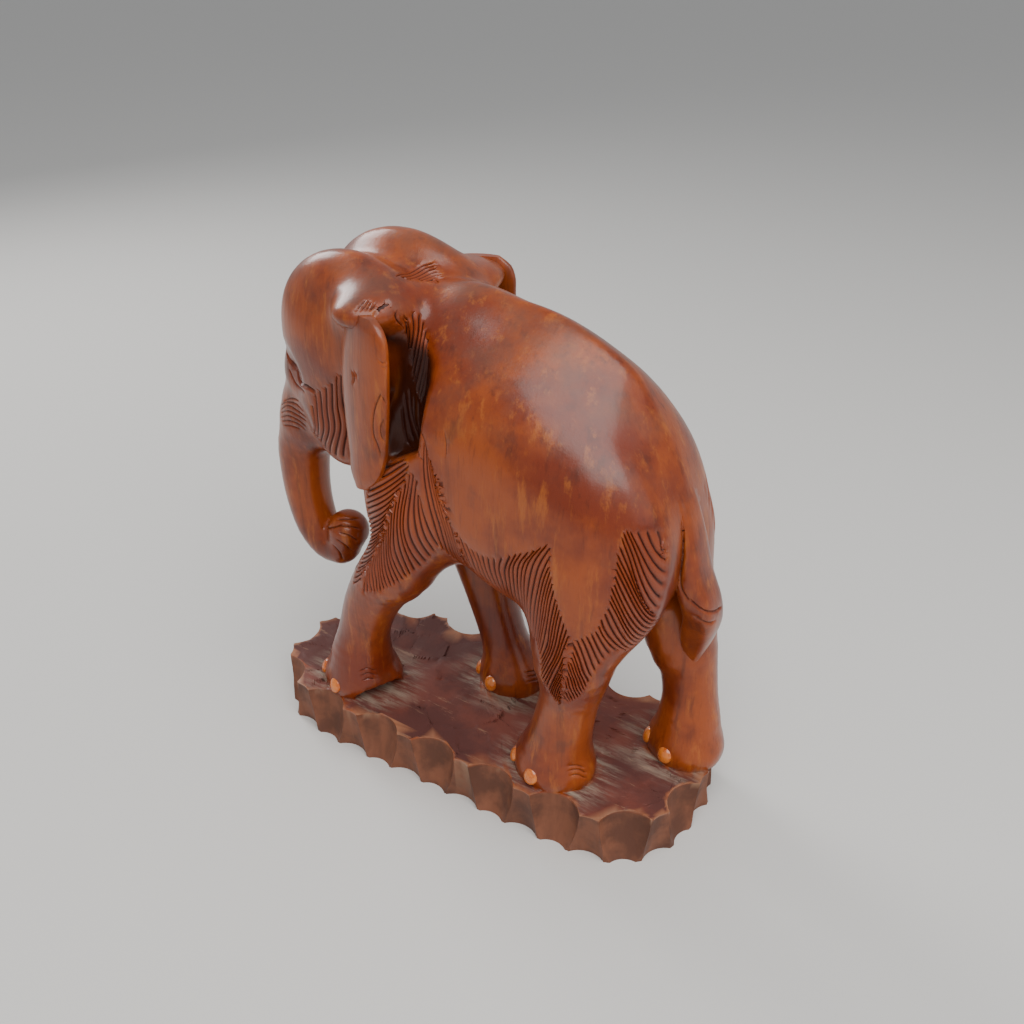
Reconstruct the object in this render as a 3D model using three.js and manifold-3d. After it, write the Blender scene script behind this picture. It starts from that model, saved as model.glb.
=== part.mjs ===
// A carved wooden elephant walking on a base of the same log. Millimetres, +X to the head,
// +Y to the animal's left, +Z up, the origin in the middle of the underside.
import * as THREE from "three";
import Module from "manifold-3d";

// Sizes that can be set by themselves.
const figureHeight = 424; // from the top of the base to the crown of the head
const baseThickness = 48;
const baseLength = 438;
const baseWidth = 171;
const scoopCount = 17; // large gouge cuts round the edge of the base
const scoopRadius = 27;
const scoopBite = 14; // how far a large cut goes into the top edge
const nailClearance = 0.3; // between a nail and its socket
const grooveDepth = 2.4; // of the hatched tool marks
const groovePitch = 25;
const skinTriangles = 3800; // of the figure before its grooves and nails are cut

// The figure is drawn with its feet at z = 0 on a scale where it stands 424 steps tall.
const step = figureHeight / 424;

const wasm = await Module();
wasm.setup();

// Shapes as distances: negative inside the wood.
function blend(a, b, softness) {
  const overlap = Math.max(softness - Math.abs(a - b), 0) / softness;
  return Math.min(a, b) - (overlap * overlap * softness) / 4;
}

function carve(a, b, softness) {
  return -blend(-a, b, softness);
}

function ball(x, y, z, [cx, cy, cz], [rx, ry, rz]) {
  const near = Math.hypot((x - cx) / rx, (y - cy) / ry, (z - cz) / rz);
  const slope = Math.hypot((x - cx) / rx ** 2, (y - cy) / ry ** 2, (z - cz) / rz ** 2);
  return slope < 1e-9 ? -Math.min(rx, ry, rz) : (near * (near - 1)) / slope;
}

function bone(x, y, z, [ax, ay, az, ar], [bx, by, bz, br]) {
  const length = (bx - ax) ** 2 + (by - ay) ** 2 + (bz - az) ** 2;
  const along = ((x - ax) * (bx - ax) + (y - ay) * (by - ay) + (z - az) * (bz - az)) / length;
  const t = Math.min(Math.max(along, 0), 1);
  const away = Math.hypot(x - ax - t * (bx - ax), y - ay - t * (by - ay), z - az - t * (bz - az));
  return away - ar - t * (br - ar);
}

function limb(x, y, z, stations) {
  let nearest = Infinity;
  for (let i = 1; i < stations.length; i++) {
    nearest = Math.min(nearest, bone(x, y, z, stations[i - 1], stations[i]));
  }
  return nearest;
}

// A smooth curve through [place, value] pairs.
function profile(pairs) {
  const places = pairs.map((pair) => pair[0]);
  const values = pairs.map((pair) => pair[1]);
  const curve = new THREE.CubicInterpolant(places, values, 1);
  return (place) => curve.evaluate(place)[0];
}

const ridge = profile([
  [-205, 290], [-182, 312], [-164, 334], [-141, 355], [-107, 375], [-74, 388], [-39, 394],
  [-5, 396], [30, 393], [70, 380], [110, 340],
]);
const belly = profile([
  [-200, 165], [-150, 144], [-100, 140], [-50, 148], [0, 171], [40, 194], [80, 205], [110, 225],
]);
const flank = profile([
  [-210, 45], [-180, 60], [-150, 73], [-110, 78], [-50, 77], [-10, 73], [15, 66], [45, 54],
  [80, 40], [110, 30],
]);
const rump = profile([
  [120, -164], [150, -178], [190, -190], [230, -192], [270, -188], [300, -181], [340, -166],
]);

// The barrel: flat flanks, a sloping back that meets them at a soft edge, a round belly.
function torso(x, y, z) {
  const side = Math.hypot(y, 3) - 3;
  const width = flank(x);
  const low = belly(x);
  const middle = low + 88;
  const drop = Math.min((z - middle) / 88, 0);
  const wall = (Math.hypot(side / width, drop) - 1) * Math.min(width, 88);
  const slope = y > 0 ? 0.72 : 0.46; // the right side of the back is the fuller one
  const round = 0.0016 + (0.72 - slope) * 0.012;
  const roof = (z - ridge(x) + side * slope + side * side * round) * 0.78;
  const back = rump(z) - x;
  const front = x - 36;
  return -blend(blend(-wall, -roof, 34), blend(-back, -front, 10), 40);
}

const legs = {
  leftFront: {
    stations: [[26, 38, 215, 38], [52, 43, 158, 33], [73, 45, 130, 28], [90, 45, 100, 25],
      [102, 44, 66, 24], [109, 43, 34, 29], [112, 41, 12, 33]],
    foot: [113, 38], reach: [40, 33],
  },
  rightFront: {
    stations: [[40, -40, 205, 40], [32, -42, 150, 31], [16, -41, 90, 24], [2, -39, 48, 22],
      [-6, -38, 24, 26], [-10, -37, 10, 29]],
    foot: [-9, -37], reach: [32, 29],
  },
  leftHind: {
    stations: [[-128, 42, 215, 36], [-122, 47, 142, 36], [-121, 47, 108, 29], [-117, 46, 80, 25],
      [-110, 45, 42, 27], [-104, 44, 12, 33]],
    foot: [-105, 44], reach: [36, 31],
  },
  rightHind: {
    stations: [[-150, -42, 210, 38], [-174, -42, 118, 31], [-184, -42, 88, 25],
      [-189, -41, 58, 24], [-191, -39, 30, 28], [-191, -38, 10, 31]],
    foot: [-190, -38], reach: [34, 30],
  },
};

function head(x, y, z) {
  const side = Math.abs(y);
  let shape = ball(x, y, z, [100, 28, 354], [72, 31, 63]);
  shape = blend(shape, ball(x, y, z, [88, -27, 359], [78, 30, 65]), 30);
  // the shelf that each ear hangs from
  const along = (58 - x) * 0.92 + (side - 62) * 0.39;
  const across = (x - 58) * 0.39 + (side - 62) * 0.92;
  const left = THREE.MathUtils.smoothstep(y, -30, 30);
  shape = blend(shape, ball(along, across, z, [8 - 13 * left, -8, 384], [31 - 7 * left, 31, 14]), 26);
  const face = limb(x, y * 1.12, z, [[118, 0, 330, 50], [152, 0, 298, 44], [178, 0, 250, 30]]);
  shape = blend(shape, face, 30);
  shape = blend(shape, ball(x, side, z, [120, 22, 272], [37, 25, 49]), 22);
  shape = blend(shape, ball(x, side, z, [150, 8, 236], [20, 13, 16]), 8);
  return carve(shape, ball(x, side, z, [170, 50, 308], [20, 13, 22]), 12);
}

function trunk(x, y, z) {
  const tube = limb(x, y, z, [[176, 0, 256, 30], [195, 0, 218, 25], [199, 0, 190, 23],
    [198, 0, 160, 21.5], [191, 0, 131, 20], [178, 0, 114, 18], [163, 0, 112, 17]]);
  return blend(tube, bone(x, y, z, [158, 0, 118, 17], [152, 0, 134, 20]), 5);
}

function figure(x, y, z) {
  const side = Math.abs(y);
  let shape = torso(x, y, z);
  shape = blend(shape, ball(x, y, z, [-132, 42, 222], [58, 33, 88]), 20);
  shape = blend(shape, ball(x, y, z, [-130, -38, 218], [52, 30, 84]), 20);
  shape = blend(shape, ball(x, side, z, [18, 37, 252], [50, 36, 82]), 20);
  const neck = bone(x, y * 1.2, z, [5, 0, 345, 50], [95, 0, 345, 50]) * 0.85;
  shape = blend(shape, neck, 16);
  shape = blend(shape, bone(x, y * 1.15, z, [20, 0, 260, 58], [66, 0, 246, 44]) * 0.87, 20);
  // the ledge of the shoulder, and the slot above it between the ear and the neck
  const ledge = (z - 255 - 0.55 * (57 - x)) * 0.85;
  const shoulder = -blend(-ball(x, side, z, [40, 46, 234], [38, 33, 56]), -1.7 - ledge, 6);
  shape = blend(shape, shoulder, 5);
  const slot = limb(x, side, z, [[40, 66, 398, 16], [25, 70, 352, 24], [27, 70, 262, 18]]);
  shape = carve(shape, -blend(-slot, ledge - 2.55, 6), 6);
  shape = blend(shape, head(x, y, z), 14);
  shape = blend(shape, bone(x, side, z, [83, 44, 372, 11], [74, 47, 246, 14]), 12);
  for (const { stations, foot, reach } of Object.values(legs)) {
    const sole = ball(x, y, z, [...foot, 6], [...reach, 26]);
    shape = blend(shape, blend(limb(x, y, z, stations), sole, 8), 20);
  }
  // the lifted heel of the left forefoot
  shape = carve(shape, ball(x, y, z, [76, 52, 0], [30, 26, 13]), 3);
  return Math.max(blend(shape, trunk(x, y, z), 12), -6 - z);
}

// Grid lines over a range, spaced as each stretch asks.
function lines(stops) {
  const out = [stops[0][0]];
  for (let i = 1; i < stops.length; i++) {
    const [end, size] = stops[i];
    const start = stops[i - 1][0];
    const count = Math.ceil((end - start) / size - 1e-6);
    for (let n = 1; n <= count; n++) {
      out.push(start + ((end - start) * n) / count);
    }
  }
  return out;
}

// Moves a point onto the surface of a field along its slope, by no more than a limit.
function settle(field, point, limit) {
  const home = point.clone();
  for (let pass = 0; pass < 4; pass++) {
    const value = field(point.x, point.y, point.z);
    const slope = new THREE.Vector3(
      field(point.x + 0.5, point.y, point.z) - field(point.x - 0.5, point.y, point.z),
      field(point.x, point.y + 0.5, point.z) - field(point.x, point.y - 0.5, point.z),
      field(point.x, point.y, point.z + 0.5) - field(point.x, point.y, point.z - 0.5),
    );
    point.addScaledVector(slope, -value / Math.max(slope.lengthSq(), 0.3));
  }
  return point.sub(home).clampLength(0, limit).add(home);
}

// One closed skin of a field: a corner in each grid cell that the surface crosses, and a
// face round each grid edge that it crosses.
function skin(field, xs, ys, zs) {
  const counts = [xs.length, ys.length, zs.length];
  const strides = [1, counts[0], counts[0] * counts[1]];
  const at = (i, j, k) => i + j * strides[1] + k * strides[2];
  const values = new Float64Array(counts[0] * counts[1] * counts[2]);
  for (let k = 0; k < counts[2]; k++) {
    for (let j = 0; j < counts[1]; j++) {
      for (let i = 0; i < counts[0]; i++) {
        values[at(i, j, k)] = field(xs[i], ys[j], zs[k]);
      }
    }
  }
  const corners = [];
  const cells = new Map();
  const place = (i, j, k) => new THREE.Vector3(xs[i], ys[j], zs[k]);
  for (let k = 0; k < counts[2] - 1; k++) {
    for (let j = 0; j < counts[1] - 1; j++) {
      for (let i = 0; i < counts[0] - 1; i++) {
        const sum = new THREE.Vector3();
        let crossed = 0;
        for (let edge = 0; edge < 12; edge++) {
          const axis = Math.floor(edge / 4);
          const offset = [0, 0, 0];
          offset[(axis + 1) % 3] = edge % 2;
          offset[(axis + 2) % 3] = Math.floor((edge % 4) / 2);
          const from = [i + offset[0], j + offset[1], k + offset[2]];
          const to = [...from];
          to[axis] += 1;
          const a = values[at(...from)];
          const b = values[at(...to)];
          if (a < 0 !== b < 0) {
            sum.add(place(...from).lerp(place(...to), a / (a - b)));
            crossed += 1;
          }
        }
        if (crossed > 0) {
          const reach = Math.min(xs[i + 1] - xs[i], ys[j + 1] - ys[j], zs[k + 1] - zs[k]);
          cells.set(at(i, j, k), corners.length);
          corners.push(settle(field, sum.divideScalar(crossed), reach * 0.4));
        }
      }
    }
  }
  const triangles = [];
  for (let axis = 0; axis < 3; axis++) {
    const u = (axis + 1) % 3;
    const v = (axis + 2) % 3;
    for (let k = 0; k < counts[2]; k++) {
      for (let j = 0; j < counts[1]; j++) {
        for (let i = 0; i < counts[0]; i++) {
          const here = [i, j, k];
          if (here[axis] + 1 >= counts[axis] || here[u] === 0 || here[v] === 0) {
            continue;
          }
          const inside = values[at(i, j, k)] < 0;
          const beyond = values[at(i, j, k) + strides[axis]] < 0;
          if (inside === beyond) {
            continue;
          }
          const index = at(i, j, k);
          const quad = [index, index - strides[u], index - strides[u] - strides[v],
            index - strides[v]].map((cell) => cells.get(cell));
          if (beyond) {
            quad.reverse();
          }
          const [a, b, c, d] = quad;
          const straight = corners[a].distanceTo(corners[c]);
          if (straight < corners[b].distanceTo(corners[d])) {
            triangles.push([a, b, c], [a, c, d]);
          } else {
            triangles.push([b, c, d], [b, d, a]);
          }
        }
      }
    }
  }
  return { corners, triangles };
}

// How far a point lies off the planes gathered in a quadric, squared and weighted by area.
function offPlanes(quadric, point) {
  const { x, y, z } = point;
  const [xx, xy, xz, xw, yy, yz, yw, zz, zw, ww] = quadric;
  return x * (xx * x + 2 * (xy * y + xz * z + xw)) + y * (yy * y + 2 * (yz * z + yw))
    + z * (zz * z + 2 * zw) + ww;
}

// Thins a skin where it is nearly flat: joins the two ends of the edges whose loss shows
// least, in rounds, until it has no more than the wanted number of triangles.
function thin(corners, triangles, wanted) {
  const quadrics = corners.map(() => new Float64Array(10));
  for (const triangle of triangles) {
    const [a, b, c] = triangle.map((id) => corners[id]);
    const normal = b.clone().sub(a).cross(c.clone().sub(a));
    const area = normal.length();
    normal.divideScalar(area);
    const { x, y, z } = normal;
    const w = -normal.dot(a);
    const terms = [x * x, x * y, x * z, x * w, y * y, y * z, y * w, z * z, z * w, w * w];
    triangle.forEach((id) => terms.forEach((term, i) => {
      quadrics[id][i] += term * area;
    }));
  }
  let left = triangles;
  while (left.length > wanted) {
    const around = corners.map(() => []);
    left.forEach((triangle) => triangle.forEach((id) => around[id].push(triangle)));
    const ring = (id) => new Set(around[id].flat().filter((other) => other !== id));
    const edges = [];
    for (const [a, b, c] of left) {
      for (const [from, to] of [[a, b], [b, c], [c, a]]) {
        if (from < to) {
          const spots = [corners[from], corners[to],
            corners[from].clone().lerp(corners[to], 0.5)];
          const costs = spots.map((spot) => offPlanes(quadrics[from], spot)
            + offPlanes(quadrics[to], spot) + 0.02 * corners[from].distanceToSquared(corners[to]));
          const least = Math.min(...costs);
          edges.push({ from, to, cost: least, spot: spots[costs.indexOf(least)] });
        }
      }
    }
    edges.sort((p, q) => p.cost - q.cost);
    const busy = new Set();
    const joined = new Map();
    const most = Math.min(edges.length / 12, (left.length - wanted) / 2 + 1);
    for (const { from, to, spot } of edges) {
      if (joined.size >= most) {
        break;
      }
      const [near, far] = [ring(from), ring(to)];
      const touched = [from, to, ...near, ...far];
      const shared = [...near].filter((id) => far.has(id));
      if (shared.length !== 2 || touched.some((id) => busy.has(id))) {
        continue;
      }
      const capped = [from, to].every((id) => around[id].some(
        (triangle) => triangle.includes(shared[0]) && triangle.includes(shared[1])));
      if (capped) {
        continue;
      }
      const turned = [...around[from], ...around[to]].some((triangle) => {
        if (triangle.includes(from) && triangle.includes(to)) {
          return false;
        }
        const [a, b, c] = triangle.map((id) => corners[id]);
        const [d, e, f] = triangle.map((id) => (id === from || id === to ? spot : corners[id]));
        const before = b.clone().sub(a).cross(c.clone().sub(a)).normalize();
        const after = e.clone().sub(d).cross(f.clone().sub(d)).normalize();
        return before.dot(after) < 0.7;
      });
      if (turned) {
        continue;
      }
      touched.forEach((id) => busy.add(id));
      joined.set(to, from);
      corners[from] = spot.clone();
      quadrics[to].forEach((term, i) => {
        quadrics[from][i] += term;
      });
    }
    if (joined.size === 0) {
      break;
    }
    left = left.map((triangle) => triangle.map((id) => joined.get(id) ?? id))
      .filter(([a, b, c]) => a !== b && b !== c && c !== a);
  }
  const ids = new Map();
  const kept = [];
  const renamed = left.map((triangle) => triangle.map((id) => {
    if (!ids.has(id)) {
      ids.set(id, kept.push(corners[id]) - 1);
    }
    return ids.get(id);
  }));
  return { corners: kept, triangles: renamed };
}

function solidFrom(corners, triangles) {
  return new wasm.Manifold(new wasm.Mesh({
    numProp: 3,
    vertProperties: new Float32Array(corners.flatMap((corner) => corner.toArray())),
    triVerts: new Uint32Array(triangles.flat()),
  }));
}

// A closed solid through rings of points, which run anticlockwise seen from the last ring.
function loft(rings) {
  const count = rings[0].length;
  const corners = rings.flat();
  const triangles = [];
  for (let r = 1; r < rings.length; r++) {
    for (let i = 0; i < count; i++) {
      const a = (r - 1) * count + i;
      const b = (r - 1) * count + ((i + 1) % count);
      triangles.push([a, b, b + count], [a, b + count, a + count]);
    }
  }
  for (const [ring, offset] of [[rings[0], 0], [rings.at(-1), (rings.length - 1) * count]]) {
    const middle = new THREE.Vector3();
    ring.forEach((corner) => middle.addScaledVector(corner, 1 / count));
    const hub = corners.push(middle) - 1;
    for (let i = 0; i < count; i++) {
      const a = offset + i;
      const b = offset + ((i + 1) % count);
      triangles.push(offset === 0 ? [hub, b, a] : [hub, a, b]);
    }
  }
  return solidFrom(corners, triangles);
}

function onBase(point) {
  return new THREE.Vector3(point.x * step, point.y * step, baseThickness + point.z * step);
}

// An ear: a leaf that hangs from the shelf on the side of the head, swept out and back. The
// right one reaches further back and a little higher.
const earLevels = [
  { z: 240, front: [72, 70], rear: [56, 74], thick: 6 },
  { z: 250, front: [77, 68], rear: [46, 77], thick: 9 },
  { z: 268, front: [79, 66], rear: [36, 79], thick: 11 },
  { z: 300, front: [82, 64], rear: [29, 81], thick: 12 },
  { z: 335, front: [82, 63], rear: [25, 82], thick: 12 },
  { z: 360, front: [79, 62], rear: [23, 83], thick: 12 },
  { z: 374, front: [75, 61], rear: [24, 83], thick: 12 },
  { z: 382, front: [70, 61], rear: [28, 82], thick: 11 },
  { z: 388, front: [62, 63], rear: [36, 79], thick: 8 },
];

function ear(sign) {
  const [sweep, lift] = sign > 0 ? [0, 1] : [7, 1.06];
  const foot = earLevels[0].z;
  const rings = earLevels.map(({ z, front, rear, thick }) => {
    const a = new THREE.Vector2(...front);
    const b = new THREE.Vector2(rear[0] - sweep, rear[1]);
    const across = new THREE.Vector2(b.y - a.y, a.x - b.x).normalize();
    const ring = [];
    for (let i = 0; i < 12; i++) {
      const angle = (i / 12) * Math.PI * 2;
      const along = 0.5 - 0.5 * Math.sign(Math.cos(angle)) * Math.abs(Math.cos(angle)) ** 0.8;
      const out = Math.sign(Math.sin(angle)) * Math.abs(Math.sin(angle)) ** 0.6;
      const bow = Math.sin(along * Math.PI) * 3;
      const spot = a.clone().lerp(b, along).addScaledVector(across, (out * thick) / 2 + bow);
      ring.push(onBase(new THREE.Vector3(spot.x, spot.y * sign, foot + (z - foot) * lift)));
    }
    return sign > 0 ? ring : ring.reverse();
  });
  return loft(rings);
}

// The tail: a flat strip down the rump that ends on the right thigh.
function tail() {
  const stations = [
    { spot: [-150, 0, 318], wide: 26, deep: 8 },
    { spot: [-166, 0, 296], wide: 28, deep: 14 },
    { spot: [-178, 0, 270], wide: 30, deep: 20 },
    { spot: [-187, 0, 240], wide: 34, deep: 24 },
    { spot: [-195, 0, 208], wide: 36, deep: 26 },
    { spot: [-203, -2, 184], wide: 35, deep: 28 },
    { spot: [-204, -8, 166], wide: 31, deep: 28 },
    { spot: [-198, -18, 138], wide: 24, deep: 26 },
    { spot: [-192, -26, 108], wide: 12, deep: 14 },
  ];
  const rings = stations.map(({ spot, wide, deep }) => {
    const ring = [];
    for (let i = 0; i < 10; i++) {
      const angle = (i / 10) * Math.PI * 2;
      const across = Math.sign(Math.sin(angle)) * Math.abs(Math.sin(angle)) ** 0.6;
      const out = Math.sign(Math.cos(angle)) * Math.abs(Math.cos(angle)) ** 0.6;
      ring.push(onBase(new THREE.Vector3(
        spot[0] + (out * deep) / 2, spot[1] + (across * wide) / 2, spot[2])));
    }
    return ring.reverse();
  });
  return loft(rings);
}

// The base: a thick slice of the log, its edge cut by a ring of gouge scoops. The outline is
// given as shares of the half length and half width, the front at the right.
const baseShares = [
  [0, 1], [0.59, 0.99], [0.8, 0.86], [0.95, 0.4], [0.97, 0.05], [0.9, -0.36], [0.73, -0.8],
  [0.55, -0.95], [0, -0.96], [-0.68, -0.97], [-0.92, -0.82], [-1, -0.45], [-1, 0.1],
  [-0.95, 0.58], [-0.81, 0.9], [-0.58, 1],
];

function baseOutline() {
  const spots = baseShares.map(([x, y]) => new THREE.Vector3(
    (x * baseLength) / 2, (y * baseWidth) / 2, 0));
  return new THREE.CatmullRomCurve3(spots.reverse(), true, "centripetal");
}

// A gouge cut like the bowl of a spoon, widest at the top edge of the base.
function largeScoop() {
  const geometry = new THREE.SphereGeometry(1, 18, 10);
  geometry.rotateX(Math.PI / 2);
  geometry.scale(scoopRadius, scoopRadius, baseThickness * 1.25);
  return geometry.translate(scoopRadius - scoopBite, 0, baseThickness * 0.95);
}

// A straight gouge cut between two large ones, deepest at the bottom edge.
function smallScoop() {
  const radius = scoopRadius * 0.85;
  const geometry = new THREE.CylinderGeometry(radius, radius, baseThickness * 3, 18, 1);
  geometry.rotateX(Math.PI / 2);
  geometry.rotateY(0.12);
  return geometry.translate(radius - scoopBite * 0.5, 0, 0);
}

function solidOf(geometry) {
  const corners = [];
  const known = new Map();
  const position = geometry.getAttribute("position");
  const order = geometry.index ? Array.from(geometry.index.array) : [...position.array.keys()];
  const ids = order.map((n) => {
    const corner = new THREE.Vector3().fromBufferAttribute(position, n);
    const key = corner.toArray().map((value) => Math.round(value * 1000)).join();
    if (!known.has(key)) {
      known.set(key, corners.push(corner) - 1);
    }
    return known.get(key);
  });
  const triangles = [];
  for (let i = 0; i < ids.length; i += 3) {
    const [a, b, c] = ids.slice(i, i + 3);
    if (a !== b && b !== c && c !== a) {
      triangles.push([a, b, c]);
    }
  }
  return solidFrom(corners, triangles);
}

// A slab whose upper face is a grid of uneven facets left by the chisel.
function roughBlock() {
  const [across, along] = [7, 16];
  const row = (top, j) => {
    const ring = [];
    for (let i = 0; i <= across; i++) {
      const x = ((j / along) * 2 - 1) * (baseLength / 2 + 20);
      const y = ((i / across) * 2 - 1) * (baseWidth / 2 + 20);
      const uneven = 1.1 * Math.sin(i * 2.1 + j * 1.3) + 0.9 * Math.sin(i * 1.1 - j * 2.7);
      ring.push(new THREE.Vector3(x, y, top ? baseThickness + uneven : 0));
    }
    return ring;
  };
  const rings = [];
  for (let j = 0; j <= along; j++) {
    rings.push([...row(false, j), ...row(true, j).reverse()]);
  }
  return loft(rings);
}

function base() {
  const outline = baseOutline();
  const count = 54;
  const points = outline.getSpacedPoints(count).slice(0, count);
  const ring = (z) => points.map((point) => new THREE.Vector3(point.x, point.y, z));
  let plate = loft([ring(0), ring(baseThickness * 1.5)]);
  plate = plate.intersect(roughBlock());
  for (let i = 0; i < scoopCount * 2; i++) {
    const t = i / (scoopCount * 2);
    const spot = outline.getPointAt(t);
    const tangent = outline.getTangentAt(t);
    const outward = new THREE.Vector2(tangent.y, -tangent.x);
    const tool = i % 2 === 0 ? largeScoop() : smallScoop();
    tool.rotateZ(Math.atan2(outward.y, outward.x));
    tool.translate(spot.x, spot.y, 0);
    plate = plate.subtract(solidOf(tool));
  }
  return plate;
}

function figureSolid() {
  const xs = lines([[-236, 0], [232, 9.2]]);
  const ys = lines([[-92, 0], [92, 9.7]]);
  const zs = lines([[-10, 0], [436, 9.5]]);
  const full = skin(figure, xs, ys, zs);
  const { corners, triangles } = thin(full.corners, full.triangles, skinTriangles);
  return solidFrom(corners.map(onBase), triangles);
}

// The hatching: rows of V cuts, drawn in side view as [x, z] on the drawing scale. Each
// patch is swept from its first guide stroke to its last.
const hatching = [
  [
    [[66, 229], [38, 248], [15, 268]],
    [[84, 200], [66, 210], [37, 222]],
    [[86, 168], [74, 172], [57, 184]],
    [[86, 134], [82, 138], [76, 145]],
  ],
  [
    [[4, 251], [-1, 230], [-8, 204]],
    [[11, 268], [18, 220], [12, 177]],
    [[30, 238], [35, 200], [31, 159]],
    [[44, 207], [48, 176], [47, 146]],
    [[64, 166], [63, 152], [64, 136]],
  ],
  [
    [[-3, 297], [-9, 250], [-10, 195]],
    [[-47, 220], [-50, 195], [-46, 165]],
    [[-77, 224], [-75, 195], [-72, 165]],
    [[-118, 246], [-104, 210], [-90, 168]],
    [[-122, 215], [-115, 182], [-103, 138]],
    [[-134, 168], [-123, 140], [-111, 105]],
    [[-128, 131], [-122, 114], [-119, 98]],
  ],
  [
    [[-179, 270], [-186, 257], [-194, 239]],
    [[-167, 262], [-177, 240], [-194, 205]],
    [[-165, 224], [-171, 205], [-182, 182]],
    [[-145, 175], [-147, 164], [-149, 154]],
    [[-128, 147], [-132, 130], [-135, 107]],
    [[-128, 113], [-129, 106], [-129, 98]],
  ],
  [
    [[98, 322], [106, 280], [116, 238]],
    [[130, 293], [134, 268], [145, 244]],
  ],
];

// The point of the figure's side at a place in side view, found by stepping inwards.
function onFlank(x, z, sign) {
  let outside = 96;
  let inside = 0;
  for (let y = 95; y > 0; y -= 1) {
    if (figure(x, y * sign, z) < 0) {
      inside = y;
      outside = y + 1;
      break;
    }
  }
  for (let pass = 0; pass < 8; pass++) {
    const y = (inside + outside) / 2;
    if (figure(x, y * sign, z) < 0) {
      inside = y;
    } else {
      outside = y;
    }
  }
  return new THREE.Vector3(x, outside * sign, z);
}

function slopeAt(point) {
  const { x, y, z } = point;
  return new THREE.Vector3(
    figure(x + 1, y, z) - figure(x - 1, y, z),
    figure(x, y + 1, z) - figure(x, y - 1, z),
    figure(x, y, z + 1) - figure(x, y, z - 1),
  ).normalize();
}

function groove(stroke, sign) {
  const path = new THREE.SplineCurve(stroke.map(([x, z]) => new THREE.Vector2(x, z)));
  const spots = path.getPoints(3).map((spot) => onFlank(spot.x, spot.y, sign));
  const rings = spots.map((spot, i) => {
    const ahead = spots[Math.min(i + 1, spots.length - 1)];
    const behind = spots[Math.max(i - 1, 0)];
    const outward = slopeAt(spot);
    const across = ahead.clone().sub(behind).cross(outward).normalize();
    const deep = i === 0 || i === spots.length - 1 ? grooveDepth * 0.3 : grooveDepth;
    const lift = 2.5;
    const half = (deep + lift) * 1.1;
    const edge = spot.clone().addScaledVector(outward, lift);
    return [
      edge.clone().addScaledVector(across, half),
      spot.clone().addScaledVector(outward, -deep),
      edge.clone().addScaledVector(across, -half),
    ].map(onBase);
  });
  return loft(rings);
}

// A slanting eye on the side of the head, between the cuts of its lids.
const lids = [
  [[146, 318], [160, 314], [176, 300]],
  [[148, 304], [158, 299], [170, 293]],
];

function eye(sign) {
  const spot = onFlank(160, 306, sign);
  const geometry = new THREE.SphereGeometry(1, 8, 6);
  geometry.scale(9, 5, 6);
  geometry.rotateY(0.5);
  geometry.scale(step, step, step);
  const { x, y, z } = onBase(spot.addScaledVector(slopeAt(spot), -1));
  return solidOf(geometry.translate(x, y, z));
}

function grooves() {
  const tools = lids.flatMap((stroke) => [groove(stroke, 1), groove(stroke, -1)]);
  for (const guides of hatching) {
    for (let g = 1; g < guides.length; g++) {
      const [from, to] = [guides[g - 1], guides[g]];
      const gap = Math.hypot(to[1][0] - from[1][0], to[1][1] - from[1][1]);
      const count = Math.max(1, Math.round(gap / groovePitch));
      for (let n = g === 1 ? 0 : 1; n <= count; n++) {
        const stroke = from.map(([x, z], i) => [
          x + ((to[i][0] - x) * n) / count,
          z + ((to[i][1] - z) * n) / count,
        ]);
        tools.push(groove(stroke, 1));
        if (tools.length % 3 === 1) {
          tools.push(groove(stroke, -1));
        }
      }
    }
  }
  return tools;
}

// The largest body alone: loose chips that two cuts free from the wood fall away.
function withoutChips(solid) {
  const bodies = solid.decompose();
  return bodies.reduce((best, body) => (body.volume() > best.volume() ? body : best));
}

// Four pale nails let into the front and sides of each foot.
const nailAngles = [80, 27, -27, -80].map(THREE.MathUtils.degToRad);

function nail(leg, angle, grow) {
  const [cx, cy] = leg.foot;
  const height = 10;
  let reach = 0;
  while (figure(cx + reach * Math.cos(angle), cy + reach * Math.sin(angle), height) < 0) {
    reach += 0.25;
  }
  const geometry = new THREE.SphereGeometry(1, 8, 5);
  geometry.rotateX(Math.PI / 2);
  geometry.scale(4.5 + grow, 7 + grow, 8 + grow);
  geometry.rotateY(-0.35);
  geometry.rotateZ(angle);
  const spot = onBase(new THREE.Vector3(
    cx + (reach - 1.5) * Math.cos(angle), cy + (reach - 1.5) * Math.sin(angle), height));
  return geometry.translate(spot.x, spot.y, spot.z);
}

function meshFrom(name, solid, colour, roughness) {
  const { vertProperties, triVerts } = solid.getMesh();
  const geometry = new THREE.BufferGeometry();
  geometry.setAttribute("position", new THREE.BufferAttribute(vertProperties, 3));
  geometry.setIndex(new THREE.BufferAttribute(triVerts, 1));
  const material = new THREE.MeshStandardMaterial({ color: colour, roughness, metalness: 0 });
  const mesh = new THREE.Mesh(geometry, material);
  mesh.name = name;
  return mesh;
}

const part = new THREE.Group();
let carving = figureSolid();
for (const tool of grooves()) {
  carving = carving.subtract(tool);
}
carving = withoutChips(carving);
for (const added of [ear(1), ear(-1), eye(1), eye(-1), tail(), base()]) {
  carving = carving.add(added);
}
for (const [name, leg] of Object.entries(legs)) {
  nailAngles.forEach((angle, i) => {
    const socket = solidOf(nail(leg, angle, nailClearance));
    carving = carving.subtract(socket);
    part.add(meshFrom(`nail_${name}_${i + 1}`, solidOf(nail(leg, angle, 0)), 0xe08a3c, 0.3));
  });
}
part.add(meshFrom("elephant_and_base", carving, 0x96461e, 0.35));

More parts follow.
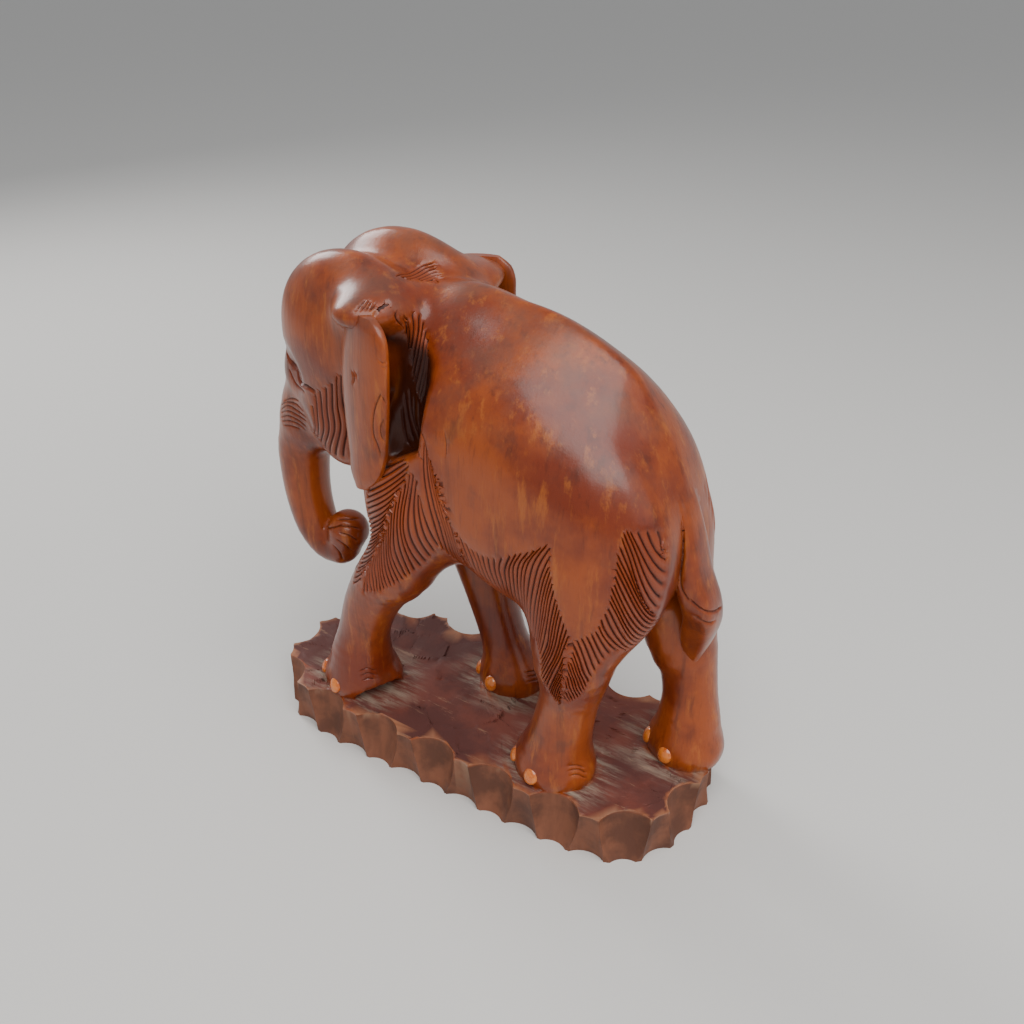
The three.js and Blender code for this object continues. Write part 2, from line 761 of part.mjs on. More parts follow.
// The origin goes to the middle of the box round the whole work.
const middle = new THREE.Box3().setFromObject(part).getCenter(new THREE.Vector3());
for (const mesh of part.children) {
  mesh.geometry.translate(-middle.x, -middle.y, 0);
}

export default part;
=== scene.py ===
import math

import bpy
import numpy as np
from mathutils import Matrix, Vector
from mathutils.bvhtree import BVHTree


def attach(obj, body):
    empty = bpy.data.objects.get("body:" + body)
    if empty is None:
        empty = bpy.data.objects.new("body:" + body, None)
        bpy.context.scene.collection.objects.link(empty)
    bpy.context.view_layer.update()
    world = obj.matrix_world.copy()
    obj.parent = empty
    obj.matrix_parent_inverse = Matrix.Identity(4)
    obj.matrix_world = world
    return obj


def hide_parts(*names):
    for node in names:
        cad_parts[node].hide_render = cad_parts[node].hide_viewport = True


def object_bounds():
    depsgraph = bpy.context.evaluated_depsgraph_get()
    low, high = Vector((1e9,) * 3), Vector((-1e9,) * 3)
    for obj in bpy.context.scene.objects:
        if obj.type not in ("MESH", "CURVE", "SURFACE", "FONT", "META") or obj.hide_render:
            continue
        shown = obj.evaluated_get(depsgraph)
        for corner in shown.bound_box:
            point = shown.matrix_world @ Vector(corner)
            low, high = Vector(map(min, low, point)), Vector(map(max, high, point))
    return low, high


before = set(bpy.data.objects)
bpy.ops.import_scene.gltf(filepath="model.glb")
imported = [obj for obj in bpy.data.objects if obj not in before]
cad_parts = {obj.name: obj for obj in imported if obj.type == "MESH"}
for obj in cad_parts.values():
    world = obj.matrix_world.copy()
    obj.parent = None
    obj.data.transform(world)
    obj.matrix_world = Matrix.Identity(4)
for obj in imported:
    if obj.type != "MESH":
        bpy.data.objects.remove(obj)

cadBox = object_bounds()
bpy.ops.object.select_all(action="DESELECT")

# The figure is drawn in millimetres with its feet at z = 0. The base lifts it, and the
# whole work is centred by a small shift along x.
work = {
    "baseThickness": 48.0,
    "shift": 1.35,
    "cell": 3.6,  # grid of the figure's first skin
    "mostTriangles": 190000,
}


# Shapes as distances, negative inside the wood
def blend(a, b, softness):
    overlap = np.maximum(softness - np.abs(a - b), 0) / softness
    return np.minimum(a, b) - overlap * overlap * softness / 4


def carve(a, b, softness):
    return -blend(-a, b, softness)


def ball(x, y, z, centre, radii):
    dx, dy, dz = x - centre[0], y - centre[1], z - centre[2]
    rx, ry, rz = radii
    near = np.sqrt((dx / rx) ** 2 + (dy / ry) ** 2 + (dz / rz) ** 2)
    slope = np.sqrt((dx / rx ** 2) ** 2 + (dy / ry ** 2) ** 2 + (dz / rz ** 2) ** 2)
    return near * (near - 1) / np.maximum(slope, 1e-9)


def bone(x, y, z, a, b):
    ax, ay, az, ar = a
    bx, by, bz, br = b
    length = (bx - ax) ** 2 + (by - ay) ** 2 + (bz - az) ** 2
    t = ((x - ax) * (bx - ax) + (y - ay) * (by - ay) + (z - az) * (bz - az)) / length
    t = np.clip(t, 0, 1)
    away = np.sqrt((x - ax - t * (bx - ax)) ** 2 + (y - ay - t * (by - ay)) ** 2
                   + (z - az - t * (bz - az)) ** 2)
    return away - ar - t * (br - ar)


def limb(x, y, z, stations):
    nearest = bone(x, y, z, stations[0], stations[1])
    for a, b in zip(stations[1:], stations[2:]):
        nearest = np.minimum(nearest, bone(x, y, z, a, b))
    return nearest


def splined(t, width, a, b, slopeA, slopeB):
    return ((2 * t ** 3 - 3 * t ** 2 + 1) * a + (t ** 3 - 2 * t ** 2 + t) * width * slopeA
            + (3 * t ** 2 - 2 * t ** 3) * b + (t ** 3 - t ** 2) * width * slopeB)


def profile(pairs):
    places = np.array([pair[0] for pair in pairs], float)
    values = np.array([pair[1] for pair in pairs], float)
    slopes = np.gradient(values, places)
    fine = np.linspace(places[0], places[-1], 400)
    i = np.clip(np.searchsorted(places, fine, side="right") - 1, 0, len(places) - 2)
    width = places[i + 1] - places[i]
    t = (fine - places[i]) / width
    curve = splined(t, width, values[i], values[i + 1], slopes[i], slopes[i + 1])
    return lambda place: np.interp(place, fine, curve)


body = {
    "ridge": profile([(-205, 290), (-182, 312), (-164, 334), (-141, 355), (-107, 375), (-74, 388),
                      (-39, 394), (-5, 396), (30, 393), (70, 380), (110, 340)]),
    "belly": profile([(-200, 165), (-150, 144), (-100, 140), (-50, 148), (0, 171), (40, 194),
                      (80, 205), (110, 225)]),
    "flank": profile([(-210, 45), (-180, 60), (-150, 73), (-110, 78), (-50, 77), (-10, 73),
                      (15, 66), (45, 54), (80, 40), (110, 30)]),
    "rump": profile([(120, -164), (150, -178), (190, -190), (230, -192), (270, -188),
                     (300, -181), (340, -166)]),
}


def torso(x, y, z):
    side = np.sqrt(y * y + 9) - 3
    width = body["flank"](x)
    low = body["belly"](x)
    drop = np.minimum((z - low - 88) / 88, 0)
    wall = (np.sqrt((side / width) ** 2 + drop ** 2) - 1) * np.minimum(width, 88)
    slope = np.where(y > 0, 0.72, 0.46)
    bulge = 0.0016 + (0.72 - slope) * 0.012
    roof = (z - body["ridge"](x) + side * slope + side * side * bulge) * 0.78
    back = body["rump"](z) - x
    front = x - 36
    return -blend(blend(-wall, -roof, 34), blend(-back, -front, 10), 40)


legs = {
    "leftFront": {
        "stations": [(26, 38, 215, 38), (52, 43, 158, 33), (73, 45, 130, 28), (90, 45, 100, 25),
                     (102, 44, 66, 24), (109, 43, 34, 29), (112, 41, 12, 33)],
        "foot": (113, 38), "reach": (40, 33)},
    "rightFront": {
        "stations": [(40, -40, 205, 40), (32, -42, 150, 31), (16, -41, 90, 24), (2, -39, 48, 22),
                     (-6, -38, 24, 26), (-10, -37, 10, 29)],
        "foot": (-9, -37), "reach": (32, 29)},
    "leftHind": {
        "stations": [(-128, 42, 215, 36), (-122, 47, 142, 36), (-121, 47, 108, 29),
                     (-117, 46, 80, 25), (-110, 45, 42, 27), (-104, 44, 12, 33)],
        "foot": (-105, 44), "reach": (36, 31)},
    "rightHind": {
        "stations": [(-150, -42, 210, 38), (-174, -42, 118, 31), (-184, -42, 88, 25),
                     (-189, -41, 58, 24), (-191, -39, 30, 28), (-191, -38, 10, 31)],
        "foot": (-190, -38), "reach": (34, 30)},
}


def smoothStations(stations, parts=3):
    stations = np.array(stations, float)
    places = np.arange(len(stations))
    fine = np.linspace(0, places[-1], (len(stations) - 1) * parts + 1)
    return [tuple(row) for row in np.column_stack(
        [profile(list(zip(places, column)))(fine) for column in stations.T])]


for leg in legs.values():
    leg["stations"] = smoothStations(leg["stations"])


def head(x, y, z):
    side = np.abs(y)
    shape = ball(x, y, z, (100, 28, 354), (72, 31, 63))
    shape = blend(shape, ball(x, y, z, (88, -27, 359), (78, 30, 65)), 30)
    along = (58 - x) * 0.92 + (side - 62) * 0.39
    across = (x - 58) * 0.39 + (side - 62) * 0.92
    left = np.clip((y + 30) / 60, 0, 1)
    left = left * left * (3 - 2 * left)
    shelf = ball(along, across, z, (8 - 13 * left, -8, 384), (31 - 7 * left, 31, 14))
    shape = blend(shape, shelf, 26)
    face = limb(x, y * 1.12, z, [(118, 0, 330, 50), (152, 0, 298, 44), (178, 0, 250, 30)])
    shape = blend(shape, face, 30)
    shape = blend(shape, ball(x, side, z, (120, 22, 272), (37, 25, 49)), 22)
    shape = blend(shape, ball(x, side, z, (150, 8, 236), (20, 13, 16)), 8)
    return carve(shape, ball(x, side, z, (170, 50, 308), (20, 13, 22)), 12)


trunkStations = smoothStations([(176, 0, 256, 30), (195, 0, 218, 25), (199, 0, 190, 23),
                                (198, 0, 160, 21.5), (191, 0, 131, 20), (178, 0, 114, 18),
                                (163, 0, 112, 17)])


def trunk(x, y, z):
    tube = limb(x, y, z, trunkStations)
    return blend(tube, bone(x, y, z, (158, 0, 118, 17), (152, 0, 134, 20)), 5)


def slotAway(x, y, z):
    slot = limb(x, np.abs(y), z, [(40, 66, 398, 16), (25, 70, 352, 24), (27, 70, 262, 18)])
    return -blend(-slot, (z - 258 - 0.55 * (57 - x)) * 0.85, 6)


def figure(x, y, z):
    side = np.abs(y)
    shape = torso(x, y, z)
    shape = blend(shape, ball(x, y, z, (-132, 42, 222), (58, 33, 88)), 20)
    shape = blend(shape, ball(x, y, z, (-130, -38, 218), (52, 30, 84)), 20)
    shape = blend(shape, ball(x, side, z, (18, 37, 252), (50, 36, 82)), 20)
    neck = bone(x, y * 1.2, z, (5, 0, 345, 50), (95, 0, 345, 50)) * 0.85
    shape = blend(shape, neck, 16)
    shape = blend(shape, bone(x, y * 1.15, z, (20, 0, 260, 58), (66, 0, 246, 44)) * 0.87, 20)
    shape = blend(carve(shape, slotAway(x, y, z), 6), head(x, y, z), 14)
    shape = blend(shape, bone(x, side, z, (83, 44, 372, 11), (74, 47, 246, 14)), 12)
    ledge = (253 + 0.55 * (57 - x) - z) * 0.85
    pad = -blend(-ball(x, side, z, (40, 46, 234), (38, 33, 56)), ledge, 6)
    shape = blend(shape, pad, 5)
    for leg in legs.values():
        sole = ball(x, y, z, (*leg["foot"], 6), (*leg["reach"], 26))
        shape = blend(shape, blend(limb(x, y, z, leg["stations"]), sole, 8), 20)
    shape = carve(shape, ball(x, y, z, (76, 52, 0), (30, 26, 13)), 3)
    return np.maximum(blend(shape, trunk(x, y, z), 12), -6 - z)


def slopeOf(field, p, h=0.6):
    x, y, z = p.T
    return np.stack([field(x + h, y, z) - field(x - h, y, z),
                     field(x, y + h, z) - field(x, y - h, z),
                     field(x, y, z + h) - field(x, y, z - h)], axis=1) / (2 * h)


def settle(field, p, limit, rounds=3):
    home = p.copy()
    for _ in range(rounds):
        slope = slopeOf(field, p)
        value = field(*p.T)
        p = p - slope * (value / np.maximum((slope ** 2).sum(1), 0.3))[:, None]
        move = p - home
        far = np.linalg.norm(move, axis=1, keepdims=True)
        p = home + move * np.minimum(1, limit / np.maximum(far, 1e-9))
    return p


def netSkin(field, low, high, cell):
    axes = [np.arange(low[i], high[i] + cell, cell) for i in range(3)]
    grid = np.meshgrid(*axes, indexing="ij")
    values = field(*grid)
    inside = values < 0
    shape = np.array(values.shape)
    total = np.zeros((*(shape - 1), 3))
    crossings = np.zeros(shape - 1)
    for axis in range(3):
        lower = [slice(None)] * 3
        upper = [slice(None)] * 3
        lower[axis], upper[axis] = slice(0, -1), slice(1, None)
        a, b = values[tuple(lower)], values[tuple(upper)]
        cross = inside[tuple(lower)] != inside[tuple(upper)]
        t = np.where(cross, a / np.where(cross, a - b, 1), 0)
        spot = np.stack([g[tuple(lower)] for g in grid], axis=-1)
        spot[..., axis] += t * cell
        u, v = (axis + 1) % 3, (axis + 2) % 3
        for du in (0, 1):
            for dv in (0, 1):
                part = [slice(None)] * 3
                part[u] = slice(du, shape[u] - 1 + du)
                part[v] = slice(dv, shape[v] - 1 + dv)
                total += np.where(cross[tuple(part)][..., None], spot[tuple(part)], 0)
                crossings += cross[tuple(part)]
    used = crossings > 0
    ids = np.full(shape - 1, -1)
    ids[used] = np.arange(used.sum())
    points = settle(field, total[used] / crossings[used][:, None], cell * 0.5)
    quads = []
    for axis in range(3):
        u, v = (axis + 1) % 3, (axis + 2) % 3
        lower = [slice(None)] * 3
        upper = [slice(None)] * 3
        lower[axis], upper[axis] = slice(0, -1), slice(1, None)
        cross = inside[tuple(lower)] != inside[tuple(upper)]
        edge = np.argwhere(cross)
        edge = edge[(edge[:, u] > 0) & (edge[:, v] > 0)
                    & (edge[:, u] < shape[u] - 1) & (edge[:, v] < shape[v] - 1)]
        out = inside[tuple(edge.T)]
        stepU, stepV = np.eye(3, dtype=int)[u], np.eye(3, dtype=int)[v]
        ring = np.stack([ids[tuple((edge - a * stepU - b * stepV).T)]
                         for a, b in ((0, 0), (1, 0), (1, 1), (0, 1))], axis=1)
        ring[~out] = ring[~out][:, ::-1]
        quads.append(ring)
    quads = np.concatenate(quads)
    a, b, c, d = points[quads.T]
    short = np.linalg.norm(a - c, axis=1) < np.linalg.norm(b - d, axis=1)
    first = np.where(short[:, None], quads[:, [0, 1, 2]], quads[:, [1, 2, 3]])
    second = np.where(short[:, None], quads[:, [0, 2, 3]], quads[:, [1, 3, 0]])
    return points, np.concatenate([first, second])


def placed(p):
    return (p + [work["shift"], 0, work["baseThickness"]]) / 1000


def drawn(p):
    return p * 1000 - [work["shift"], 0, work["baseThickness"]]


def meshObject(name, points, faces):
    mesh = bpy.data.meshes.new(name)
    mesh.from_pydata(points.tolist(), [], [list(face) for face in faces])
    mesh.update()
    item = bpy.data.objects.new(name, mesh)
    bpy.context.collection.objects.link(item)
    return item


def joinSolid(item, other, operation="UNION"):
    bpy.ops.object.select_all(action="DESELECT")
    bpy.context.view_layer.objects.active = item
    item.select_set(True)
    cut = item.modifiers.new("join", "BOOLEAN")
    cut.operation = operation
    cut.solver = "MANIFOLD"
    cut.object = other
    bpy.ops.object.modifier_apply(modifier=cut.name)
    bpy.data.objects.remove(other)


def loft(name, rings):
    count = len(rings[0])
    faces = []
    for r in range(len(rings) - 1):
        for i in range(count):
            a, b = r * count + i, r * count + (i + 1) % count
            faces.append((a, b, b + count, a + count))
    faces.append(tuple(range(count))[::-1])
    last = (len(rings) - 1) * count
    faces.append(tuple(range(last, last + count)))
    return meshObject(name, np.concatenate(rings), faces)


points, faces = netSkin(figure, (-236, -93, -10), (232, 93, 436), work["cell"])
elephant = meshObject("elephantAndBase", placed(points), faces)
print("figure skin", len(points), "points", len(faces), "triangles")

# Ears: leaves swept out and back from the side of the head
ears = {
    "heights": [240, 250, 268, 300, 335, 360, 374, 382, 388],
    "front": [(72, 70), (77, 68), (79, 66), (82, 64), (82, 63), (79, 62), (75, 61), (70, 61),
              (62, 63)],
    "rear": [(56, 74), (46, 77), (36, 79), (29, 81), (25, 82), (23, 83), (24, 83), (28, 82),
             (36, 79)],
    "thick": [6, 9, 11, 12, 12, 12, 12, 11, 8],
    "farSweep": 7, "farLift": 1.06,
    "levels": 44,
    "around": 48,
}


def earRings(sign):
    heights = np.array(ears["heights"], float)
    front, rear = np.array(ears["front"], float), np.array(ears["rear"], float)
    tracks = [profile(list(zip(heights, column))) for column in
              (front[:, 0], front[:, 1], rear[:, 0], rear[:, 1], ears["thick"])]
    sweep, lift = (0, 1) if sign > 0 else (ears["farSweep"], ears["farLift"])
    rings = []
    angle = np.linspace(0, 2 * np.pi, ears["around"], endpoint=False)
    for z in np.linspace(heights[0], heights[-1], ears["levels"]):
        fx, fy, rx, ry, thick = [track(z) for track in tracks]
        a, b = np.array([fx, fy]), np.array([rx - sweep, ry])
        across = np.array([b[1] - a[1], a[0] - b[0]])
        across /= np.linalg.norm(across)
        along = 0.5 - 0.5 * np.sign(np.cos(angle)) * np.abs(np.cos(angle)) ** 0.8
        out = np.sign(np.sin(angle)) * np.abs(np.sin(angle)) ** 0.6
        bow = np.sin(along * np.pi) * 3
        spot = a + (b - a) * along[:, None] + across * (out * thick / 2 + bow)[:, None]
        height = heights[0] + (z - heights[0]) * lift
        ring = np.column_stack([spot[:, 0], spot[:, 1] * sign, np.full(len(spot), height)])
        rings.append(placed(ring if sign > 0 else ring[::-1]))
    return rings


for sign in (1, -1):
    joinSolid(elephant, loft("ear", earRings(sign)))
print("ears joined", len(elephant.data.polygons), "faces")

# Tail: a flat strip down the rump that ends on the right thigh
tail = {
    "spots": [(-150, 0, 318), (-166, 0, 296), (-178, 0, 270), (-187, 0, 240), (-195, 0, 208),
              (-203, -2, 184), (-204, -8, 166), (-198, -18, 138), (-192, -26, 108)],
    "wide": [26, 28, 30, 34, 36, 35, 31, 24, 12],
    "deep": [8, 14, 20, 24, 26, 28, 28, 26, 14],
    "levels": 44,
    "around": 32,
}


def tailRings():
    spots = np.array(tail["spots"], float)
    heights = spots[::-1, 2]
    tracks = [profile(list(zip(heights, np.array(column, float)[::-1]))) for column in
              (spots[:, 0], spots[:, 1], tail["wide"], tail["deep"])]
    angle = np.linspace(0, 2 * np.pi, tail["around"], endpoint=False)
    across = np.sign(np.sin(angle)) * np.abs(np.sin(angle)) ** 0.6
    out = np.sign(np.cos(angle)) * np.abs(np.cos(angle)) ** 0.6
    rings = []
    for z in np.linspace(heights[-1], heights[0], tail["levels"]):
        x, y, wide, deep = [track(z) for track in tracks]
        ring = np.column_stack([x + out * deep / 2, y + across * wide / 2, np.full(len(angle), z)])
        rings.append(placed(ring[::-1]))
    return rings


joinSolid(elephant, loft("tail", tailRings()))
print("tail joined", len(elephant.data.polygons), "faces")

# Base: a thick slice of the log with gouge scoops round its edge
base = {
    "length": 438.0, "width": 171.0,
    "shares": [(0, 1), (0.59, 0.99), (0.8, 0.86), (0.95, 0.4), (0.97, 0.05), (0.9, -0.36),
               (0.73, -0.8), (0.55, -0.95), (0, -0.96), (-0.68, -0.97), (-0.92, -0.82),
               (-1, -0.45), (-1, 0.1), (-0.95, 0.58), (-0.81, 0.9), (-0.58, 1)],
    "scoops": 17, "scoopRadius": 27.0, "scoopBite": 14.0,
}


def closedCurve(spots, samples=60):
    spots = np.array(spots, float)
    out = []
    n = len(spots)
    for i in range(n):
        p0, p1, p2, p3 = (spots[(i + k - 1) % n] for k in range(4))
        d0, d1, d2 = (math.sqrt(np.linalg.norm(q - p)) for p, q in ((p0, p1), (p1, p2), (p2, p3)))
        m1 = (p1 - p0) / d0 - (p2 - p0) / (d0 + d1) + (p2 - p1) / d1
        m2 = (p2 - p1) / d1 - (p3 - p1) / (d1 + d2) + (p3 - p2) / d2
        for t in np.linspace(0, 1, samples, endpoint=False):
            out.append(splined(t, d1, p1, p2, m1, m2))
    return np.array(out)


def evenly(curve, count):
    step = np.linalg.norm(np.roll(curve, -1, axis=0) - curve, axis=1)
    reach = np.concatenate([[0], np.cumsum(step)])
    ring = np.vstack([curve, curve[:1]])
    at = np.linspace(0, reach[-1], count, endpoint=False)
    return np.column_stack([np.interp(at, reach, ring[:, k]) for k in range(2)])


shares = np.array(base["shares"])[::-1] * [base["length"] / 2, base["width"] / 2]
outline = closedCurve(shares)
rim = evenly(outline, 260)
thick = work["baseThickness"]
plate = loft("plate", [np.column_stack([rim + [work["shift"], 0], np.full(len(rim), z)]) / 1000
                       for z in (0, thick)])
spots = evenly(outline, base["scoops"] * 2)
ahead = evenly(outline, base["scoops"] * 200)
for i, spot in enumerate(spots):
    tangent = ahead[(i * 100 + 3) % len(ahead)] - ahead[i * 100 - 3]
    outward = math.atan2(-tangent[0], tangent[1])
    large = i % 2 == 0
    radius = base["scoopRadius"] * (1 if large else 0.85)
    bite = base["scoopBite"] * (1 if large else 0.5)
    if large:
        bpy.ops.mesh.primitive_uv_sphere_add(segments=44, ring_count=28, radius=1)
        shape = Matrix.Diagonal((radius / 1000, radius / 1000, thick * 1.25 / 1000, 1))
        height = thick * 0.95
    else:
        bpy.ops.mesh.primitive_cylinder_add(vertices=44, radius=radius / 1000,
                                            depth=thick * 3 / 1000)
        shape = Matrix.Rotation(0.12, 4, "Y")
        height = 0
    gouge = bpy.context.object
    turn = Matrix.Rotation(outward, 4, "Z")
    place = Matrix.Translation(((radius - bite) / 1000, 0, height / 1000))
    there = Matrix.Translation(((spot[0] + work["shift"]) / 1000, spot[1] / 1000, 0))
    gouge.data.transform(there @ turn @ place @ shape)
    gouge.location = (0, 0, 0)
    joinSolid(plate, gouge, "DIFFERENCE")
joinSolid(elephant, plate)
print("base joined", len(elephant.data.polygons), "faces")


# The joined wood as arrays, in millimetres on the drawing's axes
def readMesh(item):
    mesh = item.data
    mesh.calc_loop_triangles()
    spots = np.empty(len(mesh.vertices) * 3)
    mesh.vertices.foreach_get("co", spots)
    corners = np.empty(len(mesh.loop_triangles) * 3, int)
    mesh.loop_triangles.foreach_get("vertices", corners)
    return spots.reshape(-1, 3), corners.reshape(-1, 3)


def splitEdges(points, faces, pick):
    ends = faces[:, [0, 1, 1, 2, 2, 0]].reshape(-1, 2)
    low, high = ends.min(1), ends.max(1)
    key, back = np.unique(low * np.int64(len(points)) + high, return_inverse=True)
    low, high = key // len(points), key % len(points)
    share = pick(low, high)
    wanted = ~np.isnan(share)
    if not wanted.any():
        return points, faces, 0
    spot = np.full(len(key), -1)
    spot[wanted] = len(points) + np.arange(wanted.sum())
    t = share[wanted][:, None]
    fresh = points[low[wanted]] * (1 - t) + points[high[wanted]] * t
    points = np.concatenate([points, fresh])
    middle = spot[back].reshape(-1, 3)
    number = (middle >= 0).sum(1)
    out = [faces[number == 0]]
    for turn in range(3):
        order = [turn, (turn + 1) % 3, (turn + 2) % 3]
        one = (number == 1) & (middle[:, turn] >= 0)
        a, b, c = faces[one][:, order].T
        m = middle[one][:, turn]
        out += [np.stack([a, m, c], 1), np.stack([m, b, c], 1)]
        two = (number == 2) & (middle[:, (turn + 2) % 3] < 0)
        a, b, c = faces[two][:, order].T
        m, n = middle[two][:, turn], middle[two][:, (turn + 1) % 3]
        out.append(np.stack([m, b, n], 1))
        short = (np.linalg.norm(points[a] - points[n], axis=1)
                 < np.linalg.norm(points[m] - points[c], axis=1))[:, None]
        out.append(np.where(short, np.stack([a, m, n], 1), np.stack([a, m, c], 1)))
        out.append(np.where(short, np.stack([a, n, c], 1), np.stack([m, n, c], 1)))
    three = number == 3
    a, b, c = faces[three].T
    m, n, o = middle[three].T
    out += [np.stack(corner, 1) for corner in ((a, m, o), (m, b, n), (o, n, c), (m, n, o))]
    return points, np.concatenate(out), int(wanted.sum())


def refine(points, faces, near, longest, rounds=4):
    for _ in range(rounds):
        inside = near(points)

        def pick(low, high):
            length = np.linalg.norm(points[low] - points[high], axis=1)
            return np.where((inside[low] | inside[high]) & (length > longest), 0.5, np.nan)
        points, faces, made = splitEdges(points, faces, pick)
        if made == 0:
            break
    return points, faces


def cornerNormals(points, faces):
    a, b, c = points[faces.T]
    across = np.cross(b - a, c - a)
    normals = np.stack([np.bincount(faces.T.reshape(-1), np.tile(across[:, k], 3), len(points))
                        for k in range(3)], axis=1)
    return normals / np.maximum(np.linalg.norm(normals, axis=1, keepdims=True), 1e-12)


points, faces = readMesh(elephant)
points = drawn(points)

# Hatching: rows of V cuts. Each patch is swept from its first guide stroke to its
# last, in side view (x and z) or from above (x and y), in millimetres over the underside.
hatching = {
    "shoulderFront": {"view": "side", "cuts": 22, "guides": [
        [(52, 308), (43, 311), (23, 324)], [(60, 286), (36, 303), (15, 322)],
        [(67, 266), (39, 286), (24, 301)], [(73, 247), (42, 271), (31, 286)],
        [(79, 228), (50, 252), (37, 267)], [(83, 212), (67, 225), (49, 244)],
        [(87, 200), (72, 212), (60, 224)], [(91, 189), (80, 199), (68, 211)],
        [(92, 181), (83, 189), (74, 200)]]},
    "shoulderBack": {"view": "side", "cuts": 20, "guides": [
        [(6, 298), (4, 285), (0, 269), (-5, 251)], [(8, 312), (12, 289), (10, 262), (5, 236)],
        [(13, 319), (19, 287), (20, 254), (13, 225)],
        [(23, 301), (25, 277), (26, 248), (24, 214)],
        [(29, 288), (32, 265), (37, 236), (31, 207)],
        [(34, 276), (40, 249), (43, 225), (39, 201)],
        [(40, 261), (49, 234), (50, 214), (47, 195)],
        [(50, 241), (56, 220), (55, 206), (56, 187)],
        [(63, 219), (66, 204), (65, 194), (64, 185)],
        [(73, 199), (73, 193), (75, 184), (76, 179)]]},
    "flankAndThigh": {"view": "side", "cuts": 50, "seam": 1, "guides": [
        [(0, 346), (1, 321), (-2, 296), (-6, 273), (-9, 247)],
        [(-3, 341), (-6, 317), (-11, 294), (-15, 270), (-13, 238)],
        [(-7, 331), (-12, 308), (-18, 286), (-21, 263), (-18, 230)],
        [(-12, 319), (-18, 297), (-26, 279), (-27, 255), (-24, 222)],
        [(-19, 292), (-26, 279), (-30, 262), (-30, 241), (-30, 216)],
        [(-31, 275), (-33, 259), (-34, 244), (-35, 228), (-36, 212)],
        [(-42, 267), (-45, 254), (-44, 240), (-44, 225), (-44, 210)],
        [(-53, 265), (-53, 252), (-54, 237), (-55, 223), (-55, 208)],
        [(-64, 267), (-63, 255), (-63, 240), (-63, 224), (-64, 207)],
        [(-74, 272), (-69, 258), (-69, 243), (-67, 225), (-68, 206)],
        [(-82, 277), (-75, 259), (-73, 242), (-70, 222), (-70, 207)],
        [(-91, 282), (-83, 266), (-81, 248), (-78, 227), (-75, 208)],
        [(-101, 287), (-91, 271), (-87, 251), (-85, 230), (-80, 209)],
        [(-109, 294), (-98, 276), (-93, 257), (-90, 234), (-86, 207)],
        [(-115, 298), (-105, 280), (-99, 258), (-93, 231), (-91, 206)],
        [(-116, 289), (-110, 273), (-105, 253), (-100, 231), (-96, 204)],
        [(-117, 276), (-113, 261), (-109, 243), (-106, 223), (-102, 202)],
        [(-120, 263), (-116, 248), (-113, 229), (-109, 210), (-106, 195)],
        [(-123, 253), (-120, 239), (-117, 223), (-115, 206), (-108, 187)],
        [(-126, 242), (-123, 227), (-121, 213), (-117, 198), (-107, 173)],
        [(-130, 232), (-127, 219), (-124, 205), (-119, 190), (-108, 166)],
        [(-133, 224), (-129, 211), (-125, 197), (-119, 182), (-111, 161)],
        [(-133, 214), (-130, 203), (-127, 191), (-122, 177), (-114, 156)],
        [(-132, 200), (-130, 190), (-127, 181), (-121, 166), (-116, 152)],
        [(-129, 182), (-128, 175), (-126, 167), (-123, 159), (-120, 148)],
        [(-128, 167), (-127, 161), (-125, 156), (-124, 151), (-123, 146)]]},
    "rump": {"view": "side", "cuts": 35, "seam": -1, "guides": [
        [(-183, 314), (-186, 306), (-188, 294)], [(-177, 317), (-183, 303), (-192, 286)],
        [(-170, 316), (-178, 301), (-192, 272)], [(-166, 318), (-176, 296), (-190, 253)],
        [(-165, 311), (-174, 287), (-186, 240)], [(-164, 301), (-174, 278), (-187, 238)],
        [(-164, 290), (-173, 268), (-185, 229)], [(-163, 280), (-170, 258), (-181, 221)],
        [(-162, 269), (-168, 250), (-177, 214)], [(-161, 260), (-167, 241), (-174, 208)],
        [(-159, 251), (-163, 235), (-170, 206)], [(-155, 242), (-158, 227), (-167, 205)],
        [(-153, 232), (-156, 222), (-161, 206)], [(-149, 228), (-152, 216), (-156, 199)],
        [(-144, 224), (-148, 211), (-152, 190)], [(-139, 221), (-143, 206), (-148, 181)],
        [(-134, 216), (-139, 200), (-145, 172)], [(-133, 203), (-137, 189), (-142, 164)],
        [(-132, 191), (-135, 177), (-138, 157)], [(-130, 175), (-131, 165), (-133, 153)],
        [(-128, 162), (-128, 155), (-130, 151)]]},
    "cheek": {"view": "side", "cuts": 10, "guides": [
        [(80, 372), (82, 348), (80, 325), (86, 301)],
        [(88, 374), (95, 348), (97, 322), (106, 288)],
        [(96, 375), (106, 343), (108, 315), (121, 284)],
        [(101, 368), (109, 339), (113, 314), (128, 284)],
        [(108, 362), (115, 337), (118, 313), (134, 284)],
        [(115, 357), (121, 333), (124, 311), (139, 287)],
        [(122, 352), (126, 330), (129, 310), (144, 289)],
        [(130, 346), (134, 324), (138, 308), (148, 293)],
        [(138, 333), (140, 318), (143, 308), (152, 297)]]},
    "neck": {"view": "side", "cuts": 10, "facing": 0.3, "guides": [
        [(43, 445), (36, 437), (35, 421)], [(40, 443), (33, 431), (34, 413)],
        [(36, 440), (32, 425), (33, 403)], [(31, 435), (29, 419), (32, 396)],
        [(26, 428), (25, 412), (30, 386)], [(21, 421), (22, 404), (28, 377)],
        [(16, 414), (17, 397), (24, 368)], [(13, 403), (14, 385), (21, 363)]]},
    "crown": {"view": "top", "cuts": 7, "guides": [
        [(53, 31), (58, 0), (49, -12)], [(49, 21), (50, -1), (44, -10)],
        [(45, 13), (43, 0), (39, -7)], [(39, 5), (37, 0), (35, -3)]]},
}
cut = {"depth": 1.9, "fade": 2.5, "levels": 4, "snap": 0.08, "flank": 0.3,
       "seam": ((145, -125), (216, -132))}


